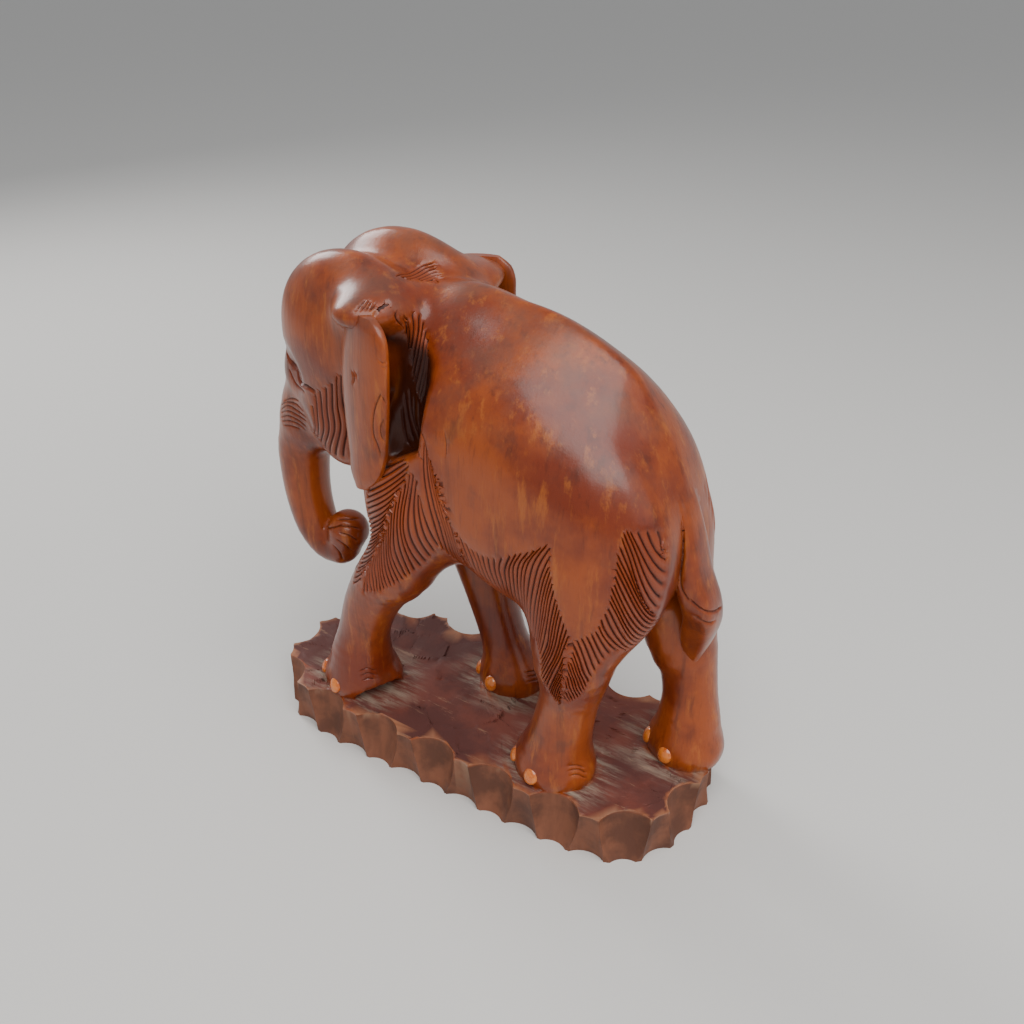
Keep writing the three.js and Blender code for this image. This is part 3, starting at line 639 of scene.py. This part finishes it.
def sweepOf(patch):
    along = np.linspace(-0.05, 1.05, 67)
    strokes = []
    for guide in patch["guides"]:
        guide = np.array(guide, float)
        at = np.linspace(0, 1, len(guide))
        slopes = np.gradient(guide, at, axis=0)
        inner = np.clip(along, 0, 1)
        i = np.clip(np.searchsorted(at, inner, side="right") - 1, 0, len(at) - 2)
        w = at[i + 1] - at[i]
        t = ((inner - at[i]) / w)[:, None]
        w = w[:, None]
        curve = splined(t, w, guide[i], guide[i + 1], slopes[i], slopes[i + 1])
        curve += (along - inner)[:, None] * np.where(along[:, None] < 0, slopes[0], slopes[-1])
        strokes.append(curve)
    strokes = np.array(strokes)
    middles = strokes[:, len(along) // 2]
    gaps = np.linalg.norm(np.diff(strokes, axis=0), axis=2).mean(1)
    number = np.concatenate([[0], np.cumsum(gaps)])
    number *= (patch["cuts"] - 1) / number[-1]
    fine = np.arange(-0.7, patch["cuts"] - 0.3 + 1e-6, 0.1)
    inner = np.clip(fine, 0, patch["cuts"] - 1)
    g = np.clip(np.searchsorted(number, inner, side="right") - 1, 0, len(number) - 2)
    t = ((fine - number[g]) / (number[g + 1] - number[g]))[:, None, None]
    lattice = strokes[g] * (1 - t) + strokes[g + 1] * t
    return lattice, fine, along


def makeLookup(patch):
    lattice, number, along = sweepOf(patch)
    low = lattice.reshape(-1, 2).min(0) - 4
    size = np.ceil(lattice.reshape(-1, 2).max(0) + 4 - low).astype(int) + 1
    index = np.full(size, -1)
    cells = np.round(lattice.reshape(-1, 2) - low).astype(int)
    index[cells[:, 0], cells[:, 1]] = np.arange(len(cells))
    for _ in range(3):
        for axis in (0, 1):
            for step in (1, -1):
                moved = np.roll(index, step, axis)
                index = np.where(index < 0, moved, index)
    byNumber = np.gradient(lattice, number, axis=0).reshape(-1, 2)
    byAlong = np.gradient(lattice, along, axis=1).reshape(-1, 2)
    flat = lattice.reshape(-1, 2)
    numbers, shares = [a.reshape(-1) for a in np.meshgrid(number, along, indexing="ij")]

    def lookup(u, v):
        i = np.round(u - low[0]).astype(int)
        j = np.round(v - low[1]).astype(int)
        good = (i >= 0) & (j >= 0) & (i < size[0]) & (j < size[1])
        k = np.where(good, index[np.clip(i, 0, size[0] - 1), np.clip(j, 0, size[1] - 1)], -1)
        good = k >= 0
        k = np.maximum(k, 0)
        du, dv = u - flat[k, 0], v - flat[k, 1]
        a, b, c, d = byNumber[k, 0], byAlong[k, 0], byNumber[k, 1], byAlong[k, 1]
        det = a * d - b * c
        det = np.where(np.abs(det) < 1e-3, 1e-3, det)
        dn = np.clip((d * du - b * dv) / det, -0.6, 0.6)
        ds = np.clip((a * dv - c * du) / det, -0.2, 0.2)
        length = np.hypot(b, d)
        return (np.where(good, numbers[k] + dn, np.nan), np.where(good, shares[k] + ds, np.nan),
                length)
    return lookup


def patchNumbers(patch, lookup, sign, p, normals):
    if patch["view"] == "side":
        u, v = p[:, 0] + work["shift"], p[:, 2] + work["baseThickness"]
        facing = normals[:, 1] * sign > patch.get("facing", 0.12)
        facing &= p[:, 1] * sign > 4
        if "seam" in patch:
            heights, places = zip(*cut["seam"])
            ahead = (u - np.interp(v, heights, places)) * patch["seam"]
            facing &= (ahead > -0.5) | (v > heights[-1] + 4)
    else:
        u, v = p[:, 0] + work["shift"], p[:, 1] * sign
        facing = normals[:, 2] > 0.3
    number, share, length = lookup(u, v)
    number[~facing] = np.nan
    maybe = np.flatnonzero(~np.isnan(number))
    number[maybe[np.abs(figure(*p[maybe].T)) > 0.8]] = np.nan
    return number, share, length


def cutHatching(points, faces):
    for name, patch in hatching.items():
        lookup = makeLookup(patch)
        for sign in ((1, -1) if patch["view"] == "side" else (1,)):
            for _ in range(6):
                normals = cornerNormals(points, faces)
                number, share, length = patchNumbers(patch, lookup, sign, points, normals)
                number[(share < -0.04) | (share > 1.04)] = np.nan
                level = number * cut["levels"]

                def pick(low, high):
                    a, b = level[low], level[high]
                    least, most = np.fmin(a, b), np.fmax(a, b)
                    k = np.clip(np.round((a + b) / 2), np.floor(least) + 1, np.ceil(most) - 1)
                    good = (k > least + cut["snap"]) & (k < most - cut["snap"])
                    good &= most - least < 12
                    return np.where(good, (k - a) / np.where(good, b - a, 1), np.nan)
                with np.errstate(invalid="ignore"):
                    points, faces, made = splitEdges(points, faces, pick)
                if made == 0:
                    break
        print("hatching cut", name, len(faces), "triangles")
    return points, faces


def hatchDepth(points, faces):
    normals = cornerNormals(points, faces)
    depth = np.zeros(len(points))
    inPatch = np.zeros(len(points))
    for name, patch in hatching.items():
        lookup = makeLookup(patch)
        for sign in ((1, -1) if patch["view"] == "side" else (1,)):
            number, share, length = patchNumbers(patch, lookup, sign, points, normals)
            ok = ~np.isnan(number) & (share > 0) & (share < 1)
            ok &= (number > -0.5) & (number < patch["cuts"] - 0.5)
            ends = np.clip(np.minimum(share, 1 - share) * length / cut["fade"], 0, 1)
            away = np.abs(number - np.round(number))
            shape = np.interp(away, (0, 0.25, 0.5), (1, cut["flank"], 0))
            if patch["view"] == "side":
                ends = ends * np.clip((normals[:, 1] * sign - 0.12) / 0.25, 0, 1)
            depth = np.where(ok, np.maximum(depth, shape * ends ** 0.6), depth)
            inPatch = np.where(ok, np.maximum(inPatch, ends), inPatch)
    return depth, inPatch, normals


# Single cuts: each is a run of places near the skin, in millimetres over the underside, drawn
# onto the skin and pressed in as a V.
marks = {
    "eye": {"bothSides": True, "width": 5.5, "depth": 3.4, "runs": [
        [(176, 32, 367), (171, 35, 361), (161, 41, 357)],
        [(161, 41, 357), (157, 39, 349), (136, 51, 350), (129, 52, 348)]]},
    "eyeNotch": {"bothSides": True, "width": 7, "depth": 3.2, "runs": [
        [(169, 36, 361), (162, 40, 358)]]},
    "eyelid": {"bothSides": True, "width": 2.4, "depth": 1.0, "runs": [
        [(174, 34, 353), (166, 36, 344), (144, 47, 343)]]},
    "trunkRoot": {"bothSides": True, "width": 2.4, "depth": 1.0, "runs": [
        [(190, 27, 317), (178, 32, 324), (162, 38, 327)],
        [(198, 24, 310), (183, 31, 319), (170, 35, 321), (158, 38, 318)],
        [(198, 25, 306), (182, 32, 316), (169, 34, 315), (157, 37, 312)],
        [(198, 25, 303), (181, 32, 311), (169, 34, 310), (158, 36, 307)],
        [(198, 26, 299), (182, 32, 306), (170, 33, 305), (162, 32, 301)],
        [(196, 27, 296), (182, 31, 301), (170, 33, 300), (165, 31, 296)],
        [(194, 28, 293), (181, 31, 296), (170, 32, 295)]]},
    "shelfLines": {"width": 2.6, "depth": 1.3, "runs": [
        [(56, 76, 438), (55, 72, 441), (55, 65, 444)],
        [(53, 75, 438), (52, 70, 441), (53, 63, 444)],
        [(50, 73, 438), (50, 69, 440), (51, 63, 443)],
        [(48, 72, 438), (47, 68, 440), (48, 63, 442)]]},
    "earFold": {"bothSides": True, "width": 3.0, "depth": 1.5, "runs": [
       
        [(30, 86, 383), (36, 86, 372), (40, 85, 360), (41, 85, 345), (38, 84, 336), (37, 82, 328)]]},
    "earHook": {"width": 2.6, "depth": 1.2, "runs": [
        [(30, 83, 361), (33, 85, 355), (34, 85, 348), (33, 82, 341)],
        [(30, 85, 381), (28, 83, 373)]]},
    "knot": {"width": 4.0, "depth": 2.0, "runs": [
        [(62, 79, 391), (60, 81, 387), (62, 80, 381)], [(58, 81, 392), (56, 82, 388)]]},
    "neckStreaks": {"width": 2.6, "depth": 0.8, "runs": [
        [(36, 50, 369), (33, 52, 347), (27, 58, 325)],
        [(32, 49, 373), (30, 51, 352), (23, 57, 328)],
        [(28, 49, 368), (27, 51, 344), (5, 76, 334)],
        [(24, 50, 365), (22, 52, 341), (-1, 77, 330)],
        [(37, 53, 357), (36, 53, 338), (30, 58, 322)],
        [(21, 51, 356), (0, 76, 348), (-4, 76, 326)]]},
    "chips": {"width": 3.4, "depth": 1.3, "runs": [
        [(29, 86, 409), (27, 85, 407), (25, 83, 407)], [(27, 85, 404), (25, 84, 402)],
        [(45, 70, 434), (44, 67, 438)]]},
    "curlPleats": {"width": 3.2, "depth": 1.4, "runs": [
        [(156, 11, 197), (147, 6, 198), (142, -2, 195)],
        [(151, 15, 194), (143, 10, 194), (137, 2, 189)],
        [(151, 17, 189), (141, 14, 187), (136, 7, 179)],
        [(152, 19, 183), (145, 17, 177), (143, 9, 166)],
        [(158, 19, 173), (153, 17, 166), (153, 11, 155)]]},
    "curlCrease": {"width": 3.4, "depth": 2.2, "runs": [
        [(174, 12, 183), (156, 16, 192), (147, 11, 195)]]},
    "tailCrease": {"width": 4.0, "depth": 1.8, "runs": [
        [(-200, 17, 242), (-208, 15, 236), (-215, 6, 230), (-215, -10, 225)],
        [(-203, 13, 226), (-211, 10, 221), (-215, 1, 219)]]},
    "tailEdge": {"width": 3.2, "depth": 1.3, "runs": [
        [(-184, 16, 305), (-189, 17, 288), (-191, 18, 262), (-193, 18, 249), (-200, 17, 240)]]},
    "footFrontNear": {"width": 2.4, "depth": 1.1, "runs": [
        [(95, 67, 81), (88, 63, 84), (84, 55, 78)], [(94, 67, 76), (88, 63, 78), (84, 55, 73)],
        [(93, 67, 70), (88, 63, 72), (85, 56, 69)]]},
    "footHindNear": {"width": 2.4, "depth": 1.1, "runs": [
        [(-127, 66, 75), (-132, 59, 73), (-136, 52, 67)],
        [(-128, 66, 70), (-133, 59, 69), (-137, 51, 61)],
        [(-129, 65, 65), (-133, 60, 64), (-137, 52, 56)]]},
    "footHindFar": {"width": 2.4, "depth": 1.1, "runs": [
        [(-30, -24, 72), (-34, -31, 70), (-38, -38, 68)],
        [(-32, -23, 68), (-36, -28, 67), (-40, -38, 65)],
        [(-34, -21, 64), (-37, -28, 62), (-41, -38, 60)]]},
    "check": {"width": 1.6, "depth": 0.7, "runs": [
        [(-19, 75, 361), (-22, 78, 351), (-22, 79, 340)], [(34, 85, 353), (33, 84, 348)]]},
}
markStages = ((2.4, 2.2), (1.0, 1.4), (0.3, 0.9))  # reach past the cut, longest edge left there


def drawnOnto(tree, run, sign):
    run = (np.array(run, float) - [work["shift"], 0, work["baseThickness"]]) * [1, sign, 1]
    reach = np.concatenate([[0], np.cumsum(np.linalg.norm(np.diff(run, axis=0), axis=1))])
    fine = np.linspace(0, reach[-1], max(int(reach[-1] / 0.5), 4))
    path = np.column_stack([profile(list(zip(reach, column)))(fine) for column in run.T])
    return np.array([tree.find_nearest(spot)[0] for spot in path.tolist()])


def awayFrom(points, path, limit):
    away = np.full(len(points), np.inf)
    spot = np.zeros(len(points), int)
    inside = ((points > path.min(0) - limit) & (points < path.max(0) + limit)).all(1)
    gap = np.linalg.norm(points[inside][:, None] - path[None], axis=2)
    away[inside], spot[inside] = gap.min(1), gap.argmin(1)
    return away, spot


def markRuns(points, faces):
    tree = BVHTree.FromPolygons(points.tolist(), faces.tolist())
    return [(drawnOnto(tree, run, sign), mark) for mark in marks.values() for run in mark["runs"]
            for sign in ((1, -1) if "bothSides" in mark else (1,))]


def refineMarks(points, faces, runs):
    for extra, longest in markStages:
        def near(spots):
            hit = np.zeros(len(spots), bool)
            for path, mark in runs:
                limit = mark["width"] / 2 + extra
                hit |= awayFrom(spots, path, limit)[0] < limit
            return hit
        points, faces = refine(points, faces, near, longest, 1)
    return points, faces


def markDepth(points, runs):
    depth = np.zeros(len(points))
    press = np.zeros(len(points))
    for path, mark in runs:
        away, spot = awayFrom(points, path, mark["width"])
        taper = np.minimum(spot, len(path) - 1 - spot) * 0.5 / 4
        share = np.clip(1 - away / (mark["width"] / 2), 0, 1) * np.clip(0.25 + taper, 0, 1)
        depth = np.maximum(depth, share)
        press = np.maximum(press, share * mark["depth"])
    return depth, press


# The base's top was levelled with a chisel: flats that lean a little, each its own way.
facets = {"count": 120, "lean": 0.1, "drop": 0.9, "edge": 5.0, "seed": 4}


def onTop(spots):
    return np.abs(spots[:, 2]) < 0.05


def chiselDrop(points):
    chance = np.random.default_rng(facets["seed"])
    middles = chance.uniform((-220, -90), (220, 90), (facets["count"], 2))
    leans = chance.uniform(-facets["lean"], facets["lean"], (facets["count"], 2))
    spots = points[:, :2]
    drop = np.zeros(len(points))
    top = onTop(points)
    spots = points[top][:, :2]
    nearest = np.linalg.norm(spots[:, None] - middles[None], axis=2).argmin(1)
    fall = ((spots - middles[nearest]) * leans[nearest]).sum(1)
    drop[top] = np.clip(facets["drop"] + fall, 0, 2.2)
    return drop


runs = markRuns(points, faces)
points, faces = refineMarks(points, faces, runs)
print("room for single cuts", len(faces), "triangles")
points, faces = refine(points, faces, onTop, facets["edge"], 9)
print("room for the chiselled top", len(faces), "triangles")
points, faces = cutHatching(points, faces)
depth, inPatch, normals = hatchDepth(points, faces)
cutDepth, press = markDepth(points, runs)
drop = chiselDrop(points)
nearWood = figure(points[:, 0], points[:, 1], np.maximum(points[:, 2], 3))
looks = {
    "grooveDepth": np.maximum(depth, cutDepth * 0.85),
    "hatched": inPatch,
    "baseTop": onTop(points) * np.clip(normals[:, 2] * 4 - 3, 0, 1),
    "rim": onTop(points) * np.clip(3.2 - normals[:, 2] * 3.2, 0, 1) * (nearWood > 4),
    "dust": np.clip(1 - nearWood / 26, 0, 1) * (points[:, 2] < 1),
    "slotShade": np.clip(1.3 - np.abs(slotAway(*points.T)) / 4, 0, 1)
    * np.clip((66 - np.abs(points[:, 1])) / 5, 0, 1) * np.clip((376 - points[:, 2]) / 12, 0, 1),
    # Upward faces high on the figure, where the wood finish paints a greyer sky reflection.
    "skySheenMask": np.clip(normals[:, 2], 0, 1) * np.clip((points[:, 2] - 230) / 120, 0, 1),
}
points = points - normals * np.maximum(depth * cut["depth"], press)[:, None]
points[:, 2] -= drop
bpy.data.objects.remove(elephant)
low, high = np.array(cadBox, float) + [[2e-5], [-2e-5]]
elephant = meshObject("elephantAndBase", np.clip(placed(points), low, high), faces)
for name, values in looks.items():
    layer = elephant.data.attributes.new(name, "FLOAT", "POINT")
    layer.data.foreach_set("value", values.astype(np.float32))
bpy.ops.object.select_all(action="DESELECT")
elephant.select_set(True)
bpy.context.view_layer.objects.active = elephant
thinner = elephant.modifiers.new("thin", "DECIMATE")
thinner.ratio = work["mostTriangles"] / len(faces)
bpy.ops.object.modifier_apply(modifier=thinner.name)
bpy.ops.object.shade_smooth_by_angle(angle=math.radians(38))
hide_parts("elephant_and_base")
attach(elephant, "root")
print("elephant finished", len(elephant.data.polygons), "triangles")


# Shader maths
class Wire:
    def __init__(self, tree, socket):
        self.tree, self.socket = tree, socket

    def maths(self, operation, other=None, flipped=False, clamp=False):
        node = self.tree.nodes.new("ShaderNodeMath")
        node.operation = operation
        node.use_clamp = clamp
        sides = [self, other] if not flipped else [other, self]
        for i, side in enumerate(sides):
            if isinstance(side, Wire):
                self.tree.links.new(side.socket, node.inputs[i])
            elif side is not None:
                node.inputs[i].default_value = side
        return Wire(self.tree, node.outputs[0])

    def __add__(self, other): return self.maths("ADD", other)
    def __radd__(self, other): return self.maths("ADD", other, True)
    def __sub__(self, other): return self.maths("SUBTRACT", other)
    def __rsub__(self, other): return self.maths("SUBTRACT", other, True)
    def __mul__(self, other): return self.maths("MULTIPLY", other)
    def __rmul__(self, other): return self.maths("MULTIPLY", other, True)
    def clip(self): return self.maths("ADD", 0.0, clamp=True)


class Finish:
    def __init__(self, name):
        self.material = bpy.data.materials.new(name)
        self.material.use_nodes = True
        self.tree = self.material.node_tree
        self.shader = self.tree.nodes["Principled BSDF"]

    def node(self, kind, settings=None, inputs=None, output=0):
        made = self.tree.nodes.new(kind)
        for key, value in (settings or {}).items():
            setattr(made, key, value)
        for key, value in (inputs or {}).items():
            if isinstance(value, Wire):
                self.tree.links.new(value.socket, made.inputs[key])
            else:
                made.inputs[key].default_value = value
        return Wire(self.tree, made.outputs[output])

    def noise(self, place, scale, detail=4.0, rough=0.55, stretch=(1, 1, 1), shift=(0, 0, 0)):
        moved = self.node("ShaderNodeMapping", {}, {"Vector": place, "Scale": stretch,
                                                    "Location": shift})
        return self.node("ShaderNodeTexNoise", {}, {"Vector": moved, "Scale": scale,
                                                    "Detail": detail, "Roughness": rough})

    def smooth(self, value, low, high):
        return self.node("ShaderNodeMapRange", {"interpolation_type": "SMOOTHSTEP"},
                         {"Value": value, "From Min": low, "From Max": high})

    def mix(self, share, a, b, kind="MIX"):
        a, b = [(*side, 1) if isinstance(side, tuple) else side for side in (a, b)]
        return self.node("ShaderNodeMix", {"data_type": "RGBA", "blend_type": kind},
                         {0: share, 6: a, 7: b}, output=2)

    def attribute(self, name):
        return self.node("ShaderNodeAttribute", {"attribute_name": name}, output="Fac")

    def feed(self, name, value):
        if isinstance(value, Wire):
            self.tree.links.new(value.socket, self.shader.inputs[name])
        else:
            self.shader.inputs[name].default_value = value


lacquer = {
    "amber": (0.28, 0.052, 0.006), "redBrown": (0.15, 0.020, 0.004), "dark": (0.05, 0.007, 0.003),
    "honey": (0.42, 0.115, 0.014), "greyBrown": (0.075, 0.026, 0.014),
    # The near-black colour for the groove bottoms on the next line is painted shade.
    "grooveShade": (0.024, 0.003, 0.002), "ridge": (0.25, 0.046, 0.012),
    "baseTop": (0.16, 0.042, 0.028), "purple": (0.09, 0.028, 0.022), "scoop": (0.2, 0.07, 0.035),
    "scoopDark": (0.1, 0.036, 0.02), "worn": (0.42, 0.24, 0.14), "dust": (0.3, 0.24, 0.18),
    # The first colour below is a painted sky reflection for upward faces; the second is painted
    # shade for the slot behind the ear.
    "paintedSkySheen": (0.11, 0.045, 0.03), "shade": (0.014, 0.003, 0.002),
}


def lacqueredWood():
    finish = Finish("lacqueredWood")
    place = finish.node("ShaderNodeTexCoord", output="Object")
    height = finish.node("ShaderNodeSeparateXYZ", {}, {"Vector": place}, output="Z")
    clouds = finish.noise(place, 12, 5, 0.6)
    patches = finish.noise(place, 26, 4, 0.6, shift=(3, 1, 2))
    grain = finish.noise(place, 70, 5, 0.65, stretch=(1, 1, 0.07))
    fine = finish.noise(place, 260, 3, 0.6, stretch=(1, 1, 0.1))
    specks = finish.noise(place, 520, 2, 0.5, shift=(1, 5, 2))
    colour = finish.mix(finish.smooth(clouds, 0.36, 0.62), lacquer["redBrown"], lacquer["amber"])
    colour = finish.mix(finish.smooth(grain, 0.5, 0.72) * 0.55, colour, lacquer["dark"])
    colour = finish.mix(finish.smooth(fine, 0.55, 0.75) * 0.3, colour, lacquer["dark"])
    streaks = finish.noise(place, 90, 5, 0.7, stretch=(1, 1, 0.16), shift=(4, 0, 1))
    colour = finish.mix(finish.smooth(streaks, 0.52, 0.7) * 0.5, colour, lacquer["honey"])
    colour = finish.mix(finish.smooth(patches, 0.56, 0.7) * 0.35, colour, lacquer["greyBrown"])
    # Painted sky reflection: upward faces high on the figure are mixed in patches towards a greyer
    # brown.
    skySheenMask = finish.attribute("skySheenMask")
    paintedSkySheen = skySheenMask * finish.smooth(patches, 0.4, 0.62) * 0.55
    colour = finish.mix(paintedSkySheen, colour, lacquer["paintedSkySheen"])
    hatched = finish.attribute("hatched")
    colour = finish.mix(hatched * 0.6, colour, lacquer["ridge"])
    shade = finish.attribute("slotShade")
    colour = finish.mix(shade * 0.88, colour, lacquer["shade"])
    onBase = 1.0 - finish.smooth(height, 0.0440, 0.0475)
    scoop = finish.mix(finish.smooth(patches, 0.4, 0.62), lacquer["scoop"], lacquer["scoopDark"])
    scoop = finish.mix(finish.smooth(grain, 0.45, 0.7) * 0.5, scoop, lacquer["scoopDark"])
    colour = finish.mix(onBase, colour, scoop)
    scratches = finish.noise(place, 46, 6, 0.75, stretch=(0.35, 2.4, 1), shift=(2, 2, 0))
    top = finish.mix(finish.smooth(clouds, 0.4, 0.6), lacquer["baseTop"], lacquer["purple"])
    top = finish.mix(finish.smooth(scratches, 0.6, 0.68) * 0.4, top, lacquer["worn"])
    dust = finish.attribute("dust")
    dusty = (dust * 0.9 * finish.smooth(scratches, 0.42, 0.62)).clip()
    top = finish.mix(dusty, top, lacquer["dust"])
    baseTop = finish.attribute("baseTop")
    colour = finish.mix(baseTop, colour, top)
    rim = finish.attribute("rim")
    colour = finish.mix((rim * finish.smooth(patches, 0.36, 0.56) * 0.5).clip(), colour,
                        lacquer["worn"])
    # Painted shade: the groove bottoms are darkened almost to black, following the groove depth.
    groove = finish.attribute("grooveDepth")
    colour = finish.mix(finish.smooth(groove, 0.3, 0.95) * 0.9, colour, lacquer["grooveShade"])
    finish.feed("Base Color", colour)
    matt = (baseTop * 0.28 + onBase * 0.25).clip()
    finish.feed("Roughness", (0.26 + clouds * 0.16 + groove * 0.25 + matt).clip())
    finish.feed("Coat Weight", (0.34 - groove * 0.3 - matt * 1.2 - shade * 0.34).clip())
    finish.shader.inputs["Coat Roughness"].default_value = 0.19
    finish.shader.inputs["Specular IOR Level"].default_value = 0.3
    bump = finish.node("ShaderNodeBump", {}, {"Height": fine + grain * 1.5 + specks * 0.4,
                                              "Strength": 0.16, "Distance": 0.001})
    finish.feed("Normal", bump)
    return finish.material


elephant.data.materials.clear()
elephant.data.materials.append(lacqueredWood())


def nailWood():
    finish = Finish("nailWood")
    place = finish.node("ShaderNodeTexCoord", output="Object")
    clouds = finish.noise(place, 90, 4, 0.6)
    colour = finish.mix(finish.smooth(clouds, 0.35, 0.65), (0.46, 0.09, 0.009), (0.62, 0.17, 0.02))
    finish.feed("Base Color", colour)
    finish.feed("Roughness", 0.2 + clouds * 0.15)
    finish.shader.inputs["Coat Weight"].default_value = 0.7
    return finish.material


nails = {"angles": (80, 27, -27, -80), "radii": (4.5, 7.0, 8.0), "height": 10.0, "lean": -0.35,
         "sink": 1.5}
nailFinish = nailWood()


def nailPiece(name, leg, degrees):
    angle = math.radians(degrees)
    middle = np.array([*leg["foot"], nails["height"]])
    ahead = np.array([math.cos(angle), math.sin(angle), 0])
    reach = 0.0
    while figure(*(middle + ahead * reach)) < 0:
        reach += 0.25
    spot = placed(middle + ahead * (reach - nails["sink"]))
    bpy.ops.mesh.primitive_uv_sphere_add(segments=28, ring_count=16, radius=1)
    piece = bpy.context.object
    piece.name = name + "_smooth"
    size = Matrix.Diagonal((*[radius / 1000 for radius in nails["radii"]], 1))
    turn = Matrix.Rotation(angle, 4, "Z") @ Matrix.Rotation(nails["lean"], 4, "Y")
    piece.data.transform(Matrix.Translation(spot.tolist()) @ turn @ size)
    piece.data.materials.append(nailFinish)
    bpy.ops.object.shade_smooth()
    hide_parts(name)
    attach(piece, "root")


for legName, leg in legs.items():
    for i, degrees in enumerate(nails["angles"]):
        nailPiece(f"nail_{legName}_{i + 1}", leg, degrees)
print("nails set")

# Floor, lights and the photo's camera
bpy.ops.mesh.primitive_plane_add(size=60, location=(0, 0, 0))
floor = bpy.context.object
floor.name = "floor"
paper = Finish("paleFloor")
paper.feed("Base Color", (0.62, 0.6, 0.57, 1))
paper.feed("Roughness", 0.8)
floor.data.materials.append(paper.material)


def areaLight(name, place, aim, size, power, colour=(1, 1, 1)):
    bpy.ops.object.light_add(type="AREA", location=place)
    lamp = bpy.context.object
    lamp.name = name
    lamp.data.size = size
    lamp.data.energy = power
    lamp.data.color = colour
    lamp.rotation_euler = (Vector(aim) - Vector(place)).to_track_quat("-Z", "Y").to_euler()


areaLight("sky", (-0.9, 0.9, 2.2), (0, 0, 0.2), 2.2, 68)
areaLight("gleam", (1.9, -0.5, 1.5), (0, 0, 0.3), 0.9, 26)
areaLight("window", (-2.2, 0.2, 1.4), (0, 0, 0.25), 2.0, 10)
world = bpy.data.worlds.new("studio")
world.use_nodes = True
world.node_tree.nodes["Background"].inputs[0].default_value = (0.93, 0.96, 1, 1)
world.node_tree.nodes["Background"].inputs[1].default_value = 0.48
bpy.context.scene.world = world

view = {"place": (-0.42595, 0.6271, 0.686), "yaw": 57.8, "pitch": 30.0, "focal": 36.07}
bpy.ops.object.camera_add(location=view["place"])
camera = bpy.context.object
yaw, pitch = math.radians(view["yaw"]), math.radians(view["pitch"])
level = math.cos(pitch)
ahead = Vector((math.cos(yaw) * level, -math.sin(yaw) * level, -math.sin(pitch)))
camera.rotation_euler = ahead.to_track_quat("-Z", "Y").to_euler()
camera.data.lens = view["focal"]
camera.data.sensor_width = 36
bpy.context.scene.camera = camera
